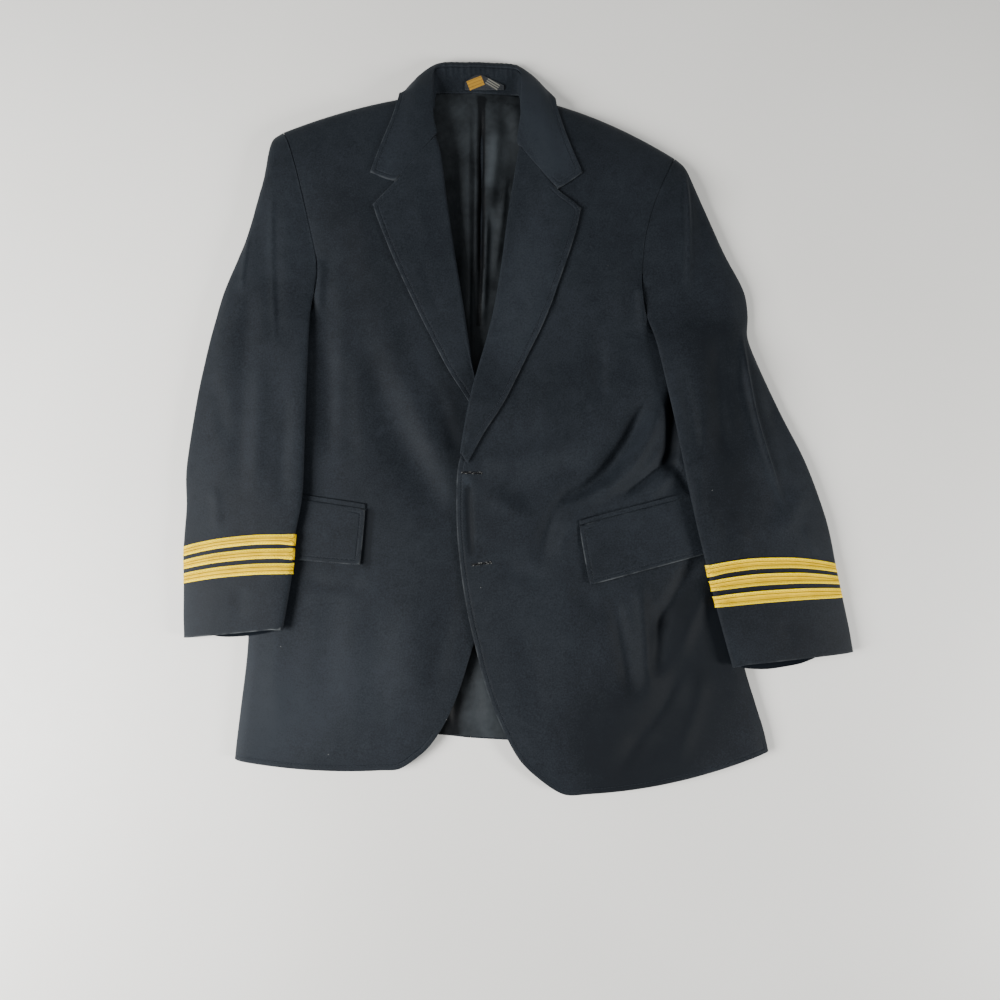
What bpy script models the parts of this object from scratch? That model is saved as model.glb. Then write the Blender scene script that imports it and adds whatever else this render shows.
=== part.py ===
"""Pilot uniform jacket, single-breasted, laid on its back with the left front lapped over the right.

Plan: +X is the wearer's left, +Y runs up to the collar and +Z is up off the surface that the jacket lies on.
Lengths are millimetres in the tables, and metres in the meshes. Left and right are the wearer's.
"""
import math
from collections import namedtuple

import bmesh
import bpy
from mathutils import Vector
from mathutils.bvhtree import BVHTree

MM = 0.001
OBJECT_NAME = "pilot_uniform_jacket"

# Cloth walls
TWILL = 1.6
SLEEVE_WALL = 1.2
LAPEL_WALL = 1.8
COLLAR_WALL = 2.0
FLAP_WALL = 2.0
JET_WALL = 1.0
BRAID_WALL = 1.0
LINING_WALL = 1.0
LABEL_WALL = 1.0

# Gaps that part the pieces
SEAM_GAP = 0.4
LAY_GAP = 0.8
BRAID_GAP = 0.4
SLEEVE_GAP = 2.9
REST_STEP = 4.0

# Driving places of the neck, the side edges and the cuffs
NECK_X = -45.0
COLLAR_SKEW = 6.0
SIDE_ROLL = 17.0
SIDE_SEAM_Z = 3.9
CUFF_FLOOR = 1.7
ROLL_INSET = 4.8
LAPEL_UNDER = 7.0
LAPEL_ROLL = 3.9
LAPEL_LIFT = 1.4
LAP_SLOPE = 0.12
LAP_CLEARANCE = 0.4
LAP_REST_SLOPE = 0.3
LAP_REACH = 20.0
BREAK_EASE = 12.0
BREAK_RAMP = 45.0

SectionRow = namedtuple("SectionRow", "place in_x in_y out_x out_y bow in_z crown out_z roll")
SleeveRow = namedtuple("SleeveRow", "place in_x in_y out_x out_y bow in_z crown out_z fold")
LapelRow = namedtuple("LapelRow", "place roll_y knee_x knee_y edge_x edge_y")
LeafRow = namedtuple("LeafRow", "place roll_x roll_y roll_z knee_x knee_y knee_z edge_x edge_y edge_z")
FootRow = namedtuple("FootRow", "place x y z")
EdgeRow = namedtuple("EdgeRow", "place y x")
FlatRow = namedtuple("FlatRow", "place a_x a_y b_x b_y bow")
Fold = namedtuple("Fold", "place x0 y0 x1 y1 x2 y2 width height")
Flap = namedtuple("Flap", "x0 y0 x1 y1 x2 y2 x3 y3")
Finish = namedtuple("Finish", "colour roughness metallic")

FINISHES = {
    "navy_twill": Finish((0.016, 0.019, 0.025), 0.82, 0.0),
    "black_satin": Finish((0.010, 0.011, 0.014), 0.35, 0.0),
    "gold_braid": Finish((0.62, 0.42, 0.06), 0.55, 0.0),
    "label_cloth": Finish((0.30, 0.17, 0.03), 0.60, 0.0),
}

# The armhole seams seen from the front, from the shoulder point to where the sleeve's inner fold starts
ARMHOLE = {
    "right": [
        EdgeRow("shoulder point", 342, -281.5),
        EdgeRow("crown", 325, -272.5),
        EdgeRow("cap", 295, -261.5),
        EdgeRow("blade", 262, -252.5),
        EdgeRow("chest", 210, -240),
        EdgeRow("foot", 160, -230.5),
        EdgeRow("underarm", 120, -235.5),
    ],
    "left": [
        EdgeRow("shoulder point", 308, 194.5),
        EdgeRow("crown", 289.5, 185),
        EdgeRow("cap", 266, 174),
        EdgeRow("blade", 237, 162.5),
        EdgeRow("chest", 195, 151.5),
        EdgeRow("foot", 135, 147.5),
        EdgeRow("underarm", 98, 152.5),
    ],
}

# Sections of the fronts, from the shoulder line to the hem. The inner end is on the lapel's roll line and then
# on the front edge, the outer end on the armhole and then on the side. roll is 1 where the side rolls under.
FRONT_RIGHT = [
    SectionRow("shoulder line", -102, 388, -281, 341, 6, 7.2, 0, 3.6, 0),
    SectionRow("shoulder turn", -101, 384, -278, 336, 6, 14, 1, 12, 0),
    SectionRow("shoulder top", -100, 374, -272, 325, 5, 18.5, 3, 18, 0),
    SectionRow("collar end", -98, 345, -261, 295, 3, 21, 5, 22, 0),
    SectionRow("gorge", -88.5, 306, -252, 262, 0, 22, 6, 22.5, 0),
    SectionRow("upper chest", -79.5, 241, -239.5, 210, 0, 21, 7, 20, 0),
    SectionRow("armhole foot", -69, 172, -230, 160, 0, 19.5, 7, 17, 0),
    SectionRow("underarm", -62, 130, -235, 122, 0, 18.5, 6, 14.5, 0),
    SectionRow("scoop", -57, 98, -262, 100, 0, 17.5, 5, 13, 0),
    SectionRow("side top", -52, 66, -299, 82, 0, 17, 4, 13, 0.5),
    SectionRow("above the lap", -40, 10, -302, 15, 0, 15.5, 4, 13, 1),
    SectionRow("waist", -20, -75, -302, -70, 0, 14, 4, 13, 1),
    SectionRow("flap", -16, -140, -301, -140, 0, 13.5, 4, 13, 1),
    SectionRow("hip", -27, -210, -298.5, -210, 0, 13, 3.5, 12.5, 1),
    SectionRow("lap's foot", -50, -278, -298, -275, 0, 12.5, 3, 12, 1),
    SectionRow("cutaway", -67, -330, -302, -328, 0, 12, 2, 11.5, 1),
    SectionRow("cutaway foot", -95, -378, -305.5, -370, -2, 11, 1, 11, 1),
    SectionRow("hem", -126, -401.5, -307, -392, -6, 10.5, 0, 10.5, 1),
]
FRONT_LEFT = [
    SectionRow("shoulder line", 12, 385, 193.5, 307, 10, 7.2, 0, 3.6, 0),
    SectionRow("shoulder turn", 11, 380, 190.5, 302, 10, 14, 1, 12, 0),
    SectionRow("shoulder top", 10, 370, 184.5, 290, 8, 18.5, 3, 18, 0),
    SectionRow("collar end", 9, 342, 173.5, 266, 4, 21, 5, 22, 0),
    SectionRow("gorge", 3, 300, 162, 237, 0, 22, 6, 23, 0),
    SectionRow("upper chest", -9, 222, 151, 195, 0, 21.5, 7, 21, 0),
    SectionRow("armhole foot", -17, 160, 147, 135, 0, 21, 7, 18, 0),
    SectionRow("underarm", -25, 112, 152, 100, 0, 20.5, 6, 15.5, 0),
    SectionRow("scoop", -33, 78, 182, 80, 0, 20, 5, 14, 0),
    SectionRow("side top", -42, 45, 229, 62, 0, 20, 4, 14, 0.5),
    SectionRow("crossing", -53, 2, 227.5, 5, 0, 20, 4, 14, 1),
    SectionRow("break", -64, -70, 227.5, -75, 0, 19, 5, 14, 1),
    SectionRow("flap", -65.5, -135, 229.5, -138, 0, 18.5, 5, 14, 1),
    SectionRow("hip", -57, -212, 238, -212, 0, 18, 4, 13, 1),
    SectionRow("lap's foot", -44, -272, 246.5, -275, 0, 16, 4, 12, 1),
    SectionRow("cutaway", -26, -333, 260, -327, -2, 12.5, 4, 11, 1),
    SectionRow("cutaway foot", 8, -397, 269.5, -361, -7, 11, 2, 11, 1),
    SectionRow("hem", 50, -428, 274, -383.5, -11, 10.5, 0, 10.5, 1),
]
FRONT_STEP = 36.0
FRONT_COLUMNS = 11
TURN_COLUMNS = 3
BREAK_Y = {"right": -20.0, "left": -62.0}

# Large folds: a path of three points, the half width, and the height (down if negative)
FRONT_RIGHT_FOLDS = [
    Fold("beside the sleeve", -224, 150, -213, 30, -222, -95, 15, -4.5),
    Fold("pull to the lap", -165, 20, -150, -55, -72, -110, 17, -2.5),
    Fold("down the lap", -100, -70, -76, -110, -70, -165, 13, -2.0),
]
FRONT_LEFT_FOLDS = [
    Fold("waist roll", 170, -4, 152, -55, 122, -106, 16, 5.5),
    Fold("groove over the roll", 148, 4, 124, -62, 80, -108, 14, -4.0),
    Fold("hollow by the sleeve", 186, -28, 170, -66, 192, -104, 14, -3.5),
    Fold("arc at the flap", 88, -104, 42, -112, 33, -150, 10, -3.5),
    Fold("pull to the button", -8, -106, 50, -98, 98, -52, 16, -3.0),
    Fold("under the flap", 200, -190, 178, -218, 152, -252, 9, -4.5),
    Fold("hip trough", 110, -248, 120, -280, 130, -312, 8, -4.0),
    Fold("hip swell", 134, -244, 142, -270, 146, -300, 8, 2.5),
    Fold("hem trough", 188, -312, 160, -345, 110, -388, 13, -3.5),
    Fold("chest dart", 100, 88, 104, 50, 103, 8, 9, -2.0),
]
SLEEVE_FOLDS = {
    "right": [
        Fold("cap trough", -292, 240, -296, 120, -299, -10, 12, -2.6),
        Fold("forearm trough", -268, 60, -266, -20, -270, -110, 10, -1.8),
    ],
    "left": [
        Fold("cap ridge", 204, 272, 203, 205, 204, 140, 6, 1.6),
        Fold("elbow ridge", 262, 70, 281, 0, 306, -88, 7, 2.2),
        Fold("upper trough", 236, 40, 238, -20, 243, -80, 10, -3.0),
        Fold("elbow hollow", 262, -72, 290, -96, 304, -128, 10, -2.4),
        Fold("inner trough", 190, 20, 204, -60, 216, -120, 8, -2.2),
    ],
}

# Sections of the sleeves, from the shoulder point to the cuff. The inner end is on the armhole and then on
# the sleeve's inner fold. fold is 0 where the sleeve opens into the body and 1 where it is a closed tube.
# bow is how far the middle of the line rises towards the shoulder.
SLEEVE = {
    "right": [
        SleeveRow("shoulder point", -281, 339.5, -290.5, 333.5, 0, 6.5, 0, 6, 0),
        SleeveRow("crown turn", -278, 334, -294, 324, 0, 13.5, 0, 11.5, 0),
        SleeveRow("crown", -272.5, 324, -296.5, 308, 0, 18.5, 0, 15.5, 0),
        SleeveRow("cap", -261.5, 295, -300, 280, 0, 22.3, 1, 17.5, 0),
        SleeveRow("cap middle", -252.5, 262, -306.5, 252, 0, 22.8, 2, 17.5, 0),
        SleeveRow("upper arm", -240, 210, -320, 198, 0, 20.3, 4, 16.5, 0),
        SleeveRow("armhole foot", -230.5, 160, -341, 141, 0, 17.3, 6, 15.5, 0),
        SleeveRow("underarm", -235.0, 127, -350, 105, 0, 20, 5, 15, 0.75),
        SleeveRow("inner fold", -236.5, 98, -357, 72, 0, 24, 3, 15, 1),
        SleeveRow("elbow", -237, 20, -367, 8, 0, 27, 2, 15.5, 1),
        SleeveRow("forearm", -236.8, -60, -375, -75, 0, 28, 2, 15.5, 1),
        SleeveRow("above the braid", -237.5, -112, -372.5, -115, 2, 29, 2, 15.5, 1),
        SleeveRow("braid head", -243.5, -149.6, -373.5, -161.9, 4.7, 29, 2, 15.5, 1),
        SleeveRow("braid foot", -245.8, -192, -371.2, -202.4, 3, 28.5, 2, 15.5, 1),
        SleeveRow("cuff", -254, -251, -368.5, -262, 0, 26.5, 1.5, 15, 1),
    ],
    "left": [
        SleeveRow("shoulder point", 194, 305.5, 202.5, 298, 0, 6.5, 0, 6, 0),
        SleeveRow("crown turn", 190.5, 300, 206.5, 289, 0, 13.5, 0, 11.5, 0),
        SleeveRow("crown", 185, 289.5, 211.5, 275, 0, 18.5, 0, 15.5, 0),
        SleeveRow("cap", 174, 266, 220, 253, 0, 22.3, 1, 17.5, 0),
        SleeveRow("cap middle", 162.5, 237, 231, 226, 0, 23.3, 2, 17.5, 0),
        SleeveRow("upper arm", 151.5, 195, 248, 184, 0, 21.3, 4, 16.5, 0),
        SleeveRow("armhole foot", 147.5, 135, 270, 136, 0, 18.3, 6, 15.5, 0),
        SleeveRow("underarm", 151.5, 104, 272.5, 104, 0, 21, 5, 15.5, 0.75),
        SleeveRow("inner fold", 160, 76, 272, 78, 0, 25.5, 5, 16, 1),
        SleeveRow("elbow", 176, -5, 303, -4, 0, 28.5, 4, 16.5, 1),
        SleeveRow("forearm", 187, -68, 331, -66, 0, 29, 4, 16.5, 1),
        SleeveRow("above the braid", 199, -138, 352, -136, 3, 30, 3, 16.5, 1),
        SleeveRow("braid head", 209, -183.4, 358.5, -180.9, 8, 29, 2, 16.5, 1),
        SleeveRow("braid foot", 218.6, -228.3, 364.2, -217.7, 1.5, 28, 2, 16.5, 1),
        SleeveRow("cuff", 234, -291, 373.5, -277, 0, 26.5, 1.5, 16, 1),
    ],
}
SLEEVE_STEP = 28.0
SLEEVE_REACH = 50.0
SLEEVE_SEAM = 1.1
SLEEVE_SQUARENESS = 3.0
TOP_ANGLES = (-22, 0, 22, 42, 58, 72, 84, 96, 108, 122, 140, 162, 185, 215, 248)
UNDER_ANGLES = (248.9, 261, 267, 273, 282, 293, 309, 335.2)
LIP_HEIGHT = 3.5
SLEEVE_SLOPE = 0.25
SLEEVE_EDGE_RISE = 5.0
FLOOR_RAMP = 100.0
UNDER_CUFF_DROP = {"right": 4.0, "left": 9.0}

# Braid, three rows round each cuff: how much of the way from the head to the foot each one takes
BRAID_ROWS = 3
BRAID_SHARE = 0.25

# Lapels from the gorge to the break, along lines that cross from the roll line to the outer edge. The knee is
# the notch on the first row, and it dies out down the lapel.
LAPEL = {
    "right": [
        LapelRow("gorge", 324.5, -139.5, 262.6, -165.6, 234.4),
        LapelRow("below the notch", 306, -128, 249, -160.5, 221),
        LapelRow("upper", 272, -116, 222, -150.5, 195),
        LapelRow("chest", 236, -106, 193, -138, 165),
        LapelRow("middle", 182, -93, 149, -120, 126),
        LapelRow("lower", 128, -78, 103, -98, 82),
        LapelRow("near the crossing", 78, -63, 58, -75, 38),
        LapelRow("crossing", 38, -51, 20, -54, 5),
        LapelRow("break", -12, -36, -22, -38, -28),
    ],
    "left": [
        LapelRow("gorge", 312.0, 48.6, 252.9, 76.8, 229.5),
        LapelRow("below the notch", 297, 40, 240, 71, 207),
        LapelRow("upper", 268, 30, 218, 63.5, 182),
        LapelRow("chest", 225, 20, 186, 52.5, 150),
        LapelRow("middle", 165, 8, 132, 34, 99),
        LapelRow("lower", 98, -10, 72, 9, 47),
        LapelRow("near the crossing", 50, -28, 24, -14, 0),
        LapelRow("crossing", 2, -43, -18, -34.5, -32),
        LapelRow("break", -54, -58, -62, -54, -69),
    ],
}
LAPEL_STEP = 30.0
LAPEL_COLUMNS = 5
LAPEL_EDGE_IN = 1.5
LAPEL_UNDER_SLOPE = 0.08
LAPEL_SLOPE = 0.12
LAPEL_REACH = 12.0
KNEE_SHARE = 0.6

# Collar leaf, half of it, in distances from the neck's centre line: from the notch up over the shoulder and
# behind the back neck, where it lies under the back. Its first row follows the lapel's gorge on each side.
LEAF_GORGE = {
    "right": LeafRow("gorge and tip", -50.4, 324.9, 26, -94.9, 263.0, 31, -124.6, 274.6, 29),
    "left": LeafRow("gorge and tip", -50.3, 315.6, 26, -94.1, 258.95, 31, -123.8, 281.5, 29),
}
LEAF_HALF = [
    LeafRow("front fall", -53.5, 348, 26, -84, 320, 30, -112, 311, 28),
    LeafRow("neck side", -53.5, 368, 25, -78, 356, 28, -102, 342, 25),
    LeafRow("over the shoulder", -54, 388, 22, -77, 387, 22, -95, 372, 17),
    LeafRow("behind the shoulder", -54.5, 405, 17, -73, 408, 13, -92, 393, 4),
    LeafRow("corner", -52.5, 420, 13, -64, 422, 6, -78, 394, 0.5),
    LeafRow("back corner", -44, 426, 11, -48, 430, 5, -54, 388, 0),
    LeafRow("back neck", -22, 427, 10, -23, 430.5, 5, -25, 385, 0),
    LeafRow("centre back", 0, 427, 10, 0, 430.5, 5, 0, 384, 0),
]
LEAF_OVER_Z = 9.0
LEAF_ROW_SPLIT = 2
LEAF_COLUMNS = (0.0, 0.5, 1.0, 1.45, 2.0, 2.5, 3.0)
ROLL_RISE = 2.6
LEAF_SLOPE = 0.2
LEAF_REACH = 12.0
STAND_DROP = 20.0

# The stand's foot on the neck seam, half of it, row for row with the leaf from its third row
STAND_FOOT = [
    FootRow("neck side", -52.0, 366, 13),
    FootRow("over the shoulder", -51.5, 384, 9),
    FootRow("behind the shoulder", -50.0, 390.5, 8.2),
    FootRow("corner", -46.0, 391.6, 7.5),
    FootRow("back corner", -40, 391.8, 7.2),
    FootRow("back neck", -21, 391.8, 7.2),
    FootRow("centre back", 0, 391.8, 7.2),
]

# The back's seams: the centre seam and the two side seams, which lie flat on the floor
CENTRE_SEAM = [EdgeRow("neck", 391, -45), EdgeRow("underarm", 105, -48), EdgeRow("hem", -370, -50)]
SIDE_SEAM = {
    "right": [EdgeRow("underarm", 125, -235.6), EdgeRow("waist", -60, -232), EdgeRow("hip", -232, -228),
              EdgeRow("hem", -390, -233)],
    "left": [EdgeRow("underarm", 105, 152), EdgeRow("waist", -60, 155), EdgeRow("hip", -232, 166),
             EdgeRow("hem", -390, 197)],
}
BACK_SECTIONS = {
    "right": [
        FlatRow("shoulder", 0, 391, -281, 341, 12),
        FlatRow("under the collar", 0, 379, -276, 331, 8),
        FlatRow("neck foot", 0, 352, -268, 311, 3),
        FlatRow("blade", 0, 300, -252.5, 262, 0),
        FlatRow("armhole", 0, 225, -239.5, 210, 0),
        FlatRow("armhole foot", 0, 165, -230.2, 160, 0),
        FlatRow("side seam top", 0, 115, -235, 122, 0),
        FlatRow("waist", 0, -60, -232, -60, 0),
        FlatRow("hip", 0, -230, -228, -232, 0),
        FlatRow("hem", 0, -370.5, -232, -384, 10),
    ],
    "left": [
        FlatRow("shoulder", 0, 391, 192.5, 307, 19),
        FlatRow("under the collar", 0, 379, 189, 299, 13),
        FlatRow("neck foot", 0, 352, 181, 282, 5),
        FlatRow("blade", 0, 300, 162, 237, 0),
        FlatRow("armhole", 0, 225, 151, 195, 0),
        FlatRow("armhole foot", 0, 165, 147.2, 135, 0),
        FlatRow("side seam top", 0, 105, 152, 100, 0),
        FlatRow("waist", 0, -60, 154, -60, 0),
        FlatRow("hip", 0, -230, 165, -232, 0),
        FlatRow("hem", 0, -370.5, 195, -384, 0),
    ],
}
SIDE_SECTIONS = {
    "right": [
        FlatRow("underarm", -235, 119, -245, 112, 0),
        FlatRow("scoop", -234, 96, -275, 94, 0),
        FlatRow("side top", -233.5, 74, -298, 76, 0),
        FlatRow("waist", -232, -60, -302, -60, 0),
        FlatRow("hip", -228, -232, -298, -232, 0),
        FlatRow("cutaway", -229.5, -310, -300, -310, 0),
        FlatRow("hem", -232.5, -384, -306, -391, 0),
    ],
    "left": [
        FlatRow("underarm", 152, 97, 162, 91, 0),
        FlatRow("scoop", 153, 76, 193, 74, 0),
        FlatRow("side top", 153, 54, 228.5, 56, 0),
        FlatRow("waist", 155, -60, 227, -60, 0),
        FlatRow("hip", 166, -232, 240, -232, 0),
        FlatRow("cutaway", 180, -310, 255, -310, 0),
        FlatRow("hem", 195.5, -382, 273, -383, 0),
    ],
}
BACK_STEP = 30.0
SIDE_TOP_Y = 80.0
BACK_COLUMNS = 6
SIDE_COLUMNS = 2
LINING = [
    FlatRow("neck seam", -93, 390.2, 3, 387.2, 0),
    FlatRow("neck foot", -150, 350, 60, 344, 0),
    FlatRow("blade", -238, 262, 148, 240, 0),
    FlatRow("armhole foot", -222, 165, 139, 140, 0),
    FlatRow("underarm", -230, 90, 146, 70, 0),
    FlatRow("waist", -238, -60, 158, -60, 0),
    FlatRow("hip", -238, -230, 165, -230, 0),
    FlatRow("hem", -242, -362, 176, -371, 0),
]
LINING_STEP = 60.0
LINING_COLUMNS = 12
COLLAR_RISE = 3.6
COLLAR_RISE_FROM = 350.0
COLLAR_RISE_TO = 378.0
COLLAR_RISE_HALF = 95.0
COLLAR_RISE_RAMP = 30.0
LINING_EARLY = 14.0
PLEAT_X = -42.0
PLEAT_WIDTH = 9.0
PLEAT_DEPTH = 1.6
PLEAT_SPREAD = 40.0
PLEAT_TOP = 330.0
PLEAT_FADE = 60.0

# Pocket flaps: the four corners of each as it lies on its front, from the top corner next to the side
FLAPS = {
    "right": Flap(-282, -103, -168, -120, -172.5, -182, -284, -172.5),
    "left": Flap(210, -102.5, 70, -139, 81, -204, 217, -168),
}
FLAP_COLUMNS = 9
FLAP_ROWS = 4
JET_HEIGHT = 5.5
FLAP_SLOPE = 0.15
FLAP_REACH = 8.0
FLAP_FOOT_LIFT = 0.8

# Neck label, folded to a low peak on the stand: the top edge, from the wearer's right
LABEL_TOP = [
    FootRow("right end", -60.5, 404, 0),
    FootRow("peak", -45, 413.5, 0),
    FootRow("slope", -27, 407, 0),
    FootRow("left end", -12.5, 400, 0),
]
LABEL_FOOT_Y = 394.5
LABEL_STEP = 9.0


class Sections:
    """A table's rows, with a smooth curve through each of its columns."""

    def __init__(self, rows, first=1):
        self.places = [row[0] for row in rows]
        self.values = [tuple(row[first:]) for row in rows]
        self.knots = [0.0]
        for before, after in zip(self.values, self.values[1:]):
            step = math.hypot(after[0] - before[0], after[1] - before[1])
            self.knots.append(self.knots[-1] + math.sqrt(step + 1.0))

    def at(self, knot):
        """The section at a knot: a cubic between two rows, whose slopes come from the rows beside them."""
        knots = self.knots
        i = 0
        while i < len(knots) - 2 and knot > knots[i + 1]:
            i += 1
        span = knots[i + 1] - knots[i]
        t = (knot - knots[i]) / span
        return [self.cubic(i, span, t, column) for column in range(len(self.values[0]))]

    def cubic(self, i, span, t, column):
        here = self.values[i][column]
        there = self.values[i + 1][column]
        chord = (there - here) / span
        leaving = chord
        arriving = chord
        if i > 0:
            before = (here - self.values[i - 1][column]) / (self.knots[i] - self.knots[i - 1])
            leaving = 0.5 * (chord + before)
        if i < len(self.values) - 2:
            after = (self.values[i + 2][column] - there) / (self.knots[i + 2] - self.knots[i + 1])
            arriving = 0.5 * (chord + after)
        return (
            (2 * t ** 3 - 3 * t ** 2 + 1) * here
            + (t ** 3 - 2 * t ** 2 + t) * span * leaving
            + (3 * t ** 2 - 2 * t ** 3) * there
            + (t ** 3 - t ** 2) * span * arriving
        )

    def stations(self, longest):
        """Every row's section, with more between two rows that are farther apart than this length."""
        found = [self.at(0.0)]
        for i in range(len(self.values) - 1):
            here = self.values[i]
            there = self.values[i + 1]
            apart = math.hypot(there[0] - here[0], there[1] - here[1])
            steps = max(1, math.ceil(apart / longest))
            for k in range(1, steps + 1):
                found.append(self.at(self.knots[i] + (self.knots[i + 1] - self.knots[i]) * k / steps))
        return found

    def between(self, place, next_place, share):
        start = self.knots[self.places.index(place)]
        end = self.knots[self.places.index(next_place)]
        return self.at(start + (end - start) * share)


class Edge:
    """A seam or edge as a smooth x over y."""

    def __init__(self, rows):
        self.sections = Sections(rows)
        self.sections.knots = [rows[0].y - row.y for row in rows]
        self.top = rows[0].y
        self.foot = rows[-1].y

    def x(self, y):
        return self.sections.at(self.top - min(max(y, self.foot), self.top))[1]


class Surface:
    """The outer face of a piece that others lie on."""

    def __init__(self, grid):
        points = [point for row in grid for point in row]
        wide = len(grid[0])
        faces = [
            (i * wide + j, i * wide + j + 1, (i + 1) * wide + j + 1, (i + 1) * wide + j)
            for i in range(len(grid) - 1)
            for j in range(wide - 1)
        ]
        self.tree = BVHTree.FromPolygons(points, faces)

    def height(self, x, y):
        hit = self.tree.ray_cast(Vector((x, y, 200.0)), Vector((0, 0, -1)))
        return hit[0].z if hit[0] else None


def eased(value):
    """0 to 1 with a soft start and end."""
    value = min(max(value, 0.0), 1.0)
    return value * value * (3 - 2 * value)


def fold_height(folds, x, y):
    """How far the folds lift or sink the cloth at a point."""
    total = 0.0
    steps = 12
    for fold in folds:
        nearest = None
        for i in range(steps + 1):
            t = i / steps
            path_x = (1 - t) ** 2 * fold.x0 + 2 * t * (1 - t) * fold.x1 + t * t * fold.x2
            path_y = (1 - t) ** 2 * fold.y0 + 2 * t * (1 - t) * fold.y1 + t * t * fold.y2
            distance = math.hypot(x - path_x, y - path_y)
            if nearest is None or distance < nearest[0]:
                nearest = (distance, t)
        fade = 0.25 + 0.75 * eased(nearest[1] / 0.25) * eased((1 - nearest[1]) / 0.25)
        total += fold.height * fade * math.exp(-(nearest[0] / fold.width) ** 2)
    return total


def rest_height(surfaces, x, y, slope, reach):
    """The height that cloth takes over the surfaces, falling away from their edges with this slope."""
    best = -1000.0
    around = 8
    radius = 0.0
    while radius <= reach:
        for k in range(around if radius else 1):
            angle = 2 * math.pi * k / around
            for surface in surfaces:
                found = surface.height(x + radius * math.cos(angle), y + radius * math.sin(angle))
                if found is not None:
                    best = max(best, found - slope * radius)
        radius += REST_STEP
    return best


def ring_moved_out(rings, distance):
    """Two rings of points, moved along their normals, which point up on the highest one."""
    wide = len(rings[0])
    down = [rings[1][j] - rings[0][j] for j in range(wide)]
    normals = []
    for j in range(wide):
        across = rings[0][(j + 1) % wide] - rings[0][j - 1]
        normals.append(across.cross(down[j]).normalized())
    highest = max(range(wide), key=lambda j: rings[0][j].z)
    sign = math.copysign(distance, normals[highest].z)
    return [[ring[j] + sign * normals[j] for j in range(wide)] for ring in rings]


def turned_over(cells, under):
    """Whether the cells face the wrong way: the outer face looks up, or down on a piece underneath."""
    def height(cell):
        return sum(point.z for point in cell)

    cell = min(cells, key=height) if under else max(cells, key=height)
    normal = (cell[2] - cell[0]).cross(cell[3] - cell[1])
    return (normal.z > 0) == under


def material(finish):
    """The finish's own Principled material, made once."""
    found = bpy.data.materials.get(finish)
    if found:
        return found
    made = bpy.data.materials.new(finish)
    made.use_nodes = True
    shader = made.node_tree.nodes["Principled BSDF"]
    shader.inputs["Base Color"].default_value = (*FINISHES[finish].colour, 1)
    shader.inputs["Roughness"].default_value = FINISHES[finish].roughness
    shader.inputs["Metallic"].default_value = FINISHES[finish].metallic
    return made


def make_sheet(name, grid, wall, finish, under=False, ring=False):
    """A cloth wall, inward from the grid, which is its outer face. A ring of trim has its wall outward."""
    shape = bmesh.new()
    rows = [[shape.verts.new(point * MM) for point in line] for line in grid]
    wide = len(grid[0])
    columns = wide if ring else wide - 1
    places = [(i, j, (j + 1) % wide) for i in range(len(rows) - 1) for j in range(columns)]
    cells = [(grid[i][j], grid[i + 1][j], grid[i + 1][k], grid[i][k]) for i, j, k in places]
    turned = turned_over(cells, under)
    for i, j, k in places:
        corners = (rows[i][j], rows[i + 1][j], rows[i + 1][k], rows[i][k])
        shape.faces.new(corners[::-1] if turned else corners)
    mesh = bpy.data.meshes.new(name)
    shape.to_mesh(mesh)
    shape.free()
    mesh.shade_smooth()
    mesh.materials.append(material(finish))
    piece = bpy.data.objects.new(name, mesh)
    parts.objects.link(piece)
    cloth = piece.modifiers.new("cloth", "SOLIDIFY")
    cloth.thickness = wall * MM
    cloth.offset = 1.0 if ring else -1.0
    cloth.use_even_offset = False
    return piece


def front_shares(length):
    """Where the columns of a front stand: evenly to the side's roll, then close together round it."""
    roll = SIDE_ROLL / length
    flat = [i / FRONT_COLUMNS * (1 - roll) for i in range(FRONT_COLUMNS)]
    quarter = 0.5 * math.pi
    turn = [1 - roll + roll * math.sin(quarter * k / TURN_COLUMNS) for k in range(TURN_COLUMNS + 1)]
    return flat + turn


def front_grid(side, table, folds):
    """The outer face of a front. Above the break its inner edge steps back, clear of the lapel's roll."""
    armhole = Edge(ARMHOLE[side])
    inward = SEAM_GAP if side == "right" else -SEAM_GAP
    grid = []
    for in_x, in_y, out_x, out_y, bow, in_z, crown, out_z, roll in Sections(table).stations(FRONT_STEP):
        if out_y > armhole.foot:
            out_x = armhole.x(out_y) + inward
        length = math.hypot(out_x - in_x, out_y - in_y)
        inset = ROLL_INSET / length * eased((in_y - BREAK_Y[side]) / BREAK_EASE + 0.5)
        roll = min(max(roll, 0.0), 1.0)
        line = []
        for share in front_shares(length):
            along = inset + share * (1 - inset)
            x = in_x + (out_x - in_x) * along
            y = in_y + (out_y - in_y) * along + bow * 4 * along * (1 - along)
            z = in_z + (out_z - in_z) * along + crown * math.sin(math.pi * min(along, 1.0)) ** 0.8
            z += fold_height(folds, x, y)
            nearness = 1 - min((1 - share) * length / SIDE_ROLL, 1.0)
            rolled = SIDE_SEAM_Z + (z - SIDE_SEAM_Z) * math.sqrt(max(1 - nearness ** 2, 0.0))
            line.append(Vector((x, y, z + (rolled - z) * roll)))
        grid.append(line)
    return grid


def lap_over(grid, surfaces, break_y):
    """Lifts the upper front clear of the lower one, and above the break of the lapel's turned-under edge."""
    for line in grid:
        for j, point in enumerate(line):
            near_roll = eased((point.y - break_y) / BREAK_RAMP + 1) * max(1 - j / 2, 0.0)
            clear = TWILL + LAY_GAP + LAP_CLEARANCE + near_roll * (LAPEL_ROLL + 0.5 * SEAM_GAP)
            point.z = max(point.z, rest_height(surfaces, point.x, point.y, LAP_REST_SLOPE, LAP_REACH) + clear)
            if j:
                point.z = max(point.z, line[j - 1].z - LAP_SLOPE * (point - line[j - 1]).length)


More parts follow.
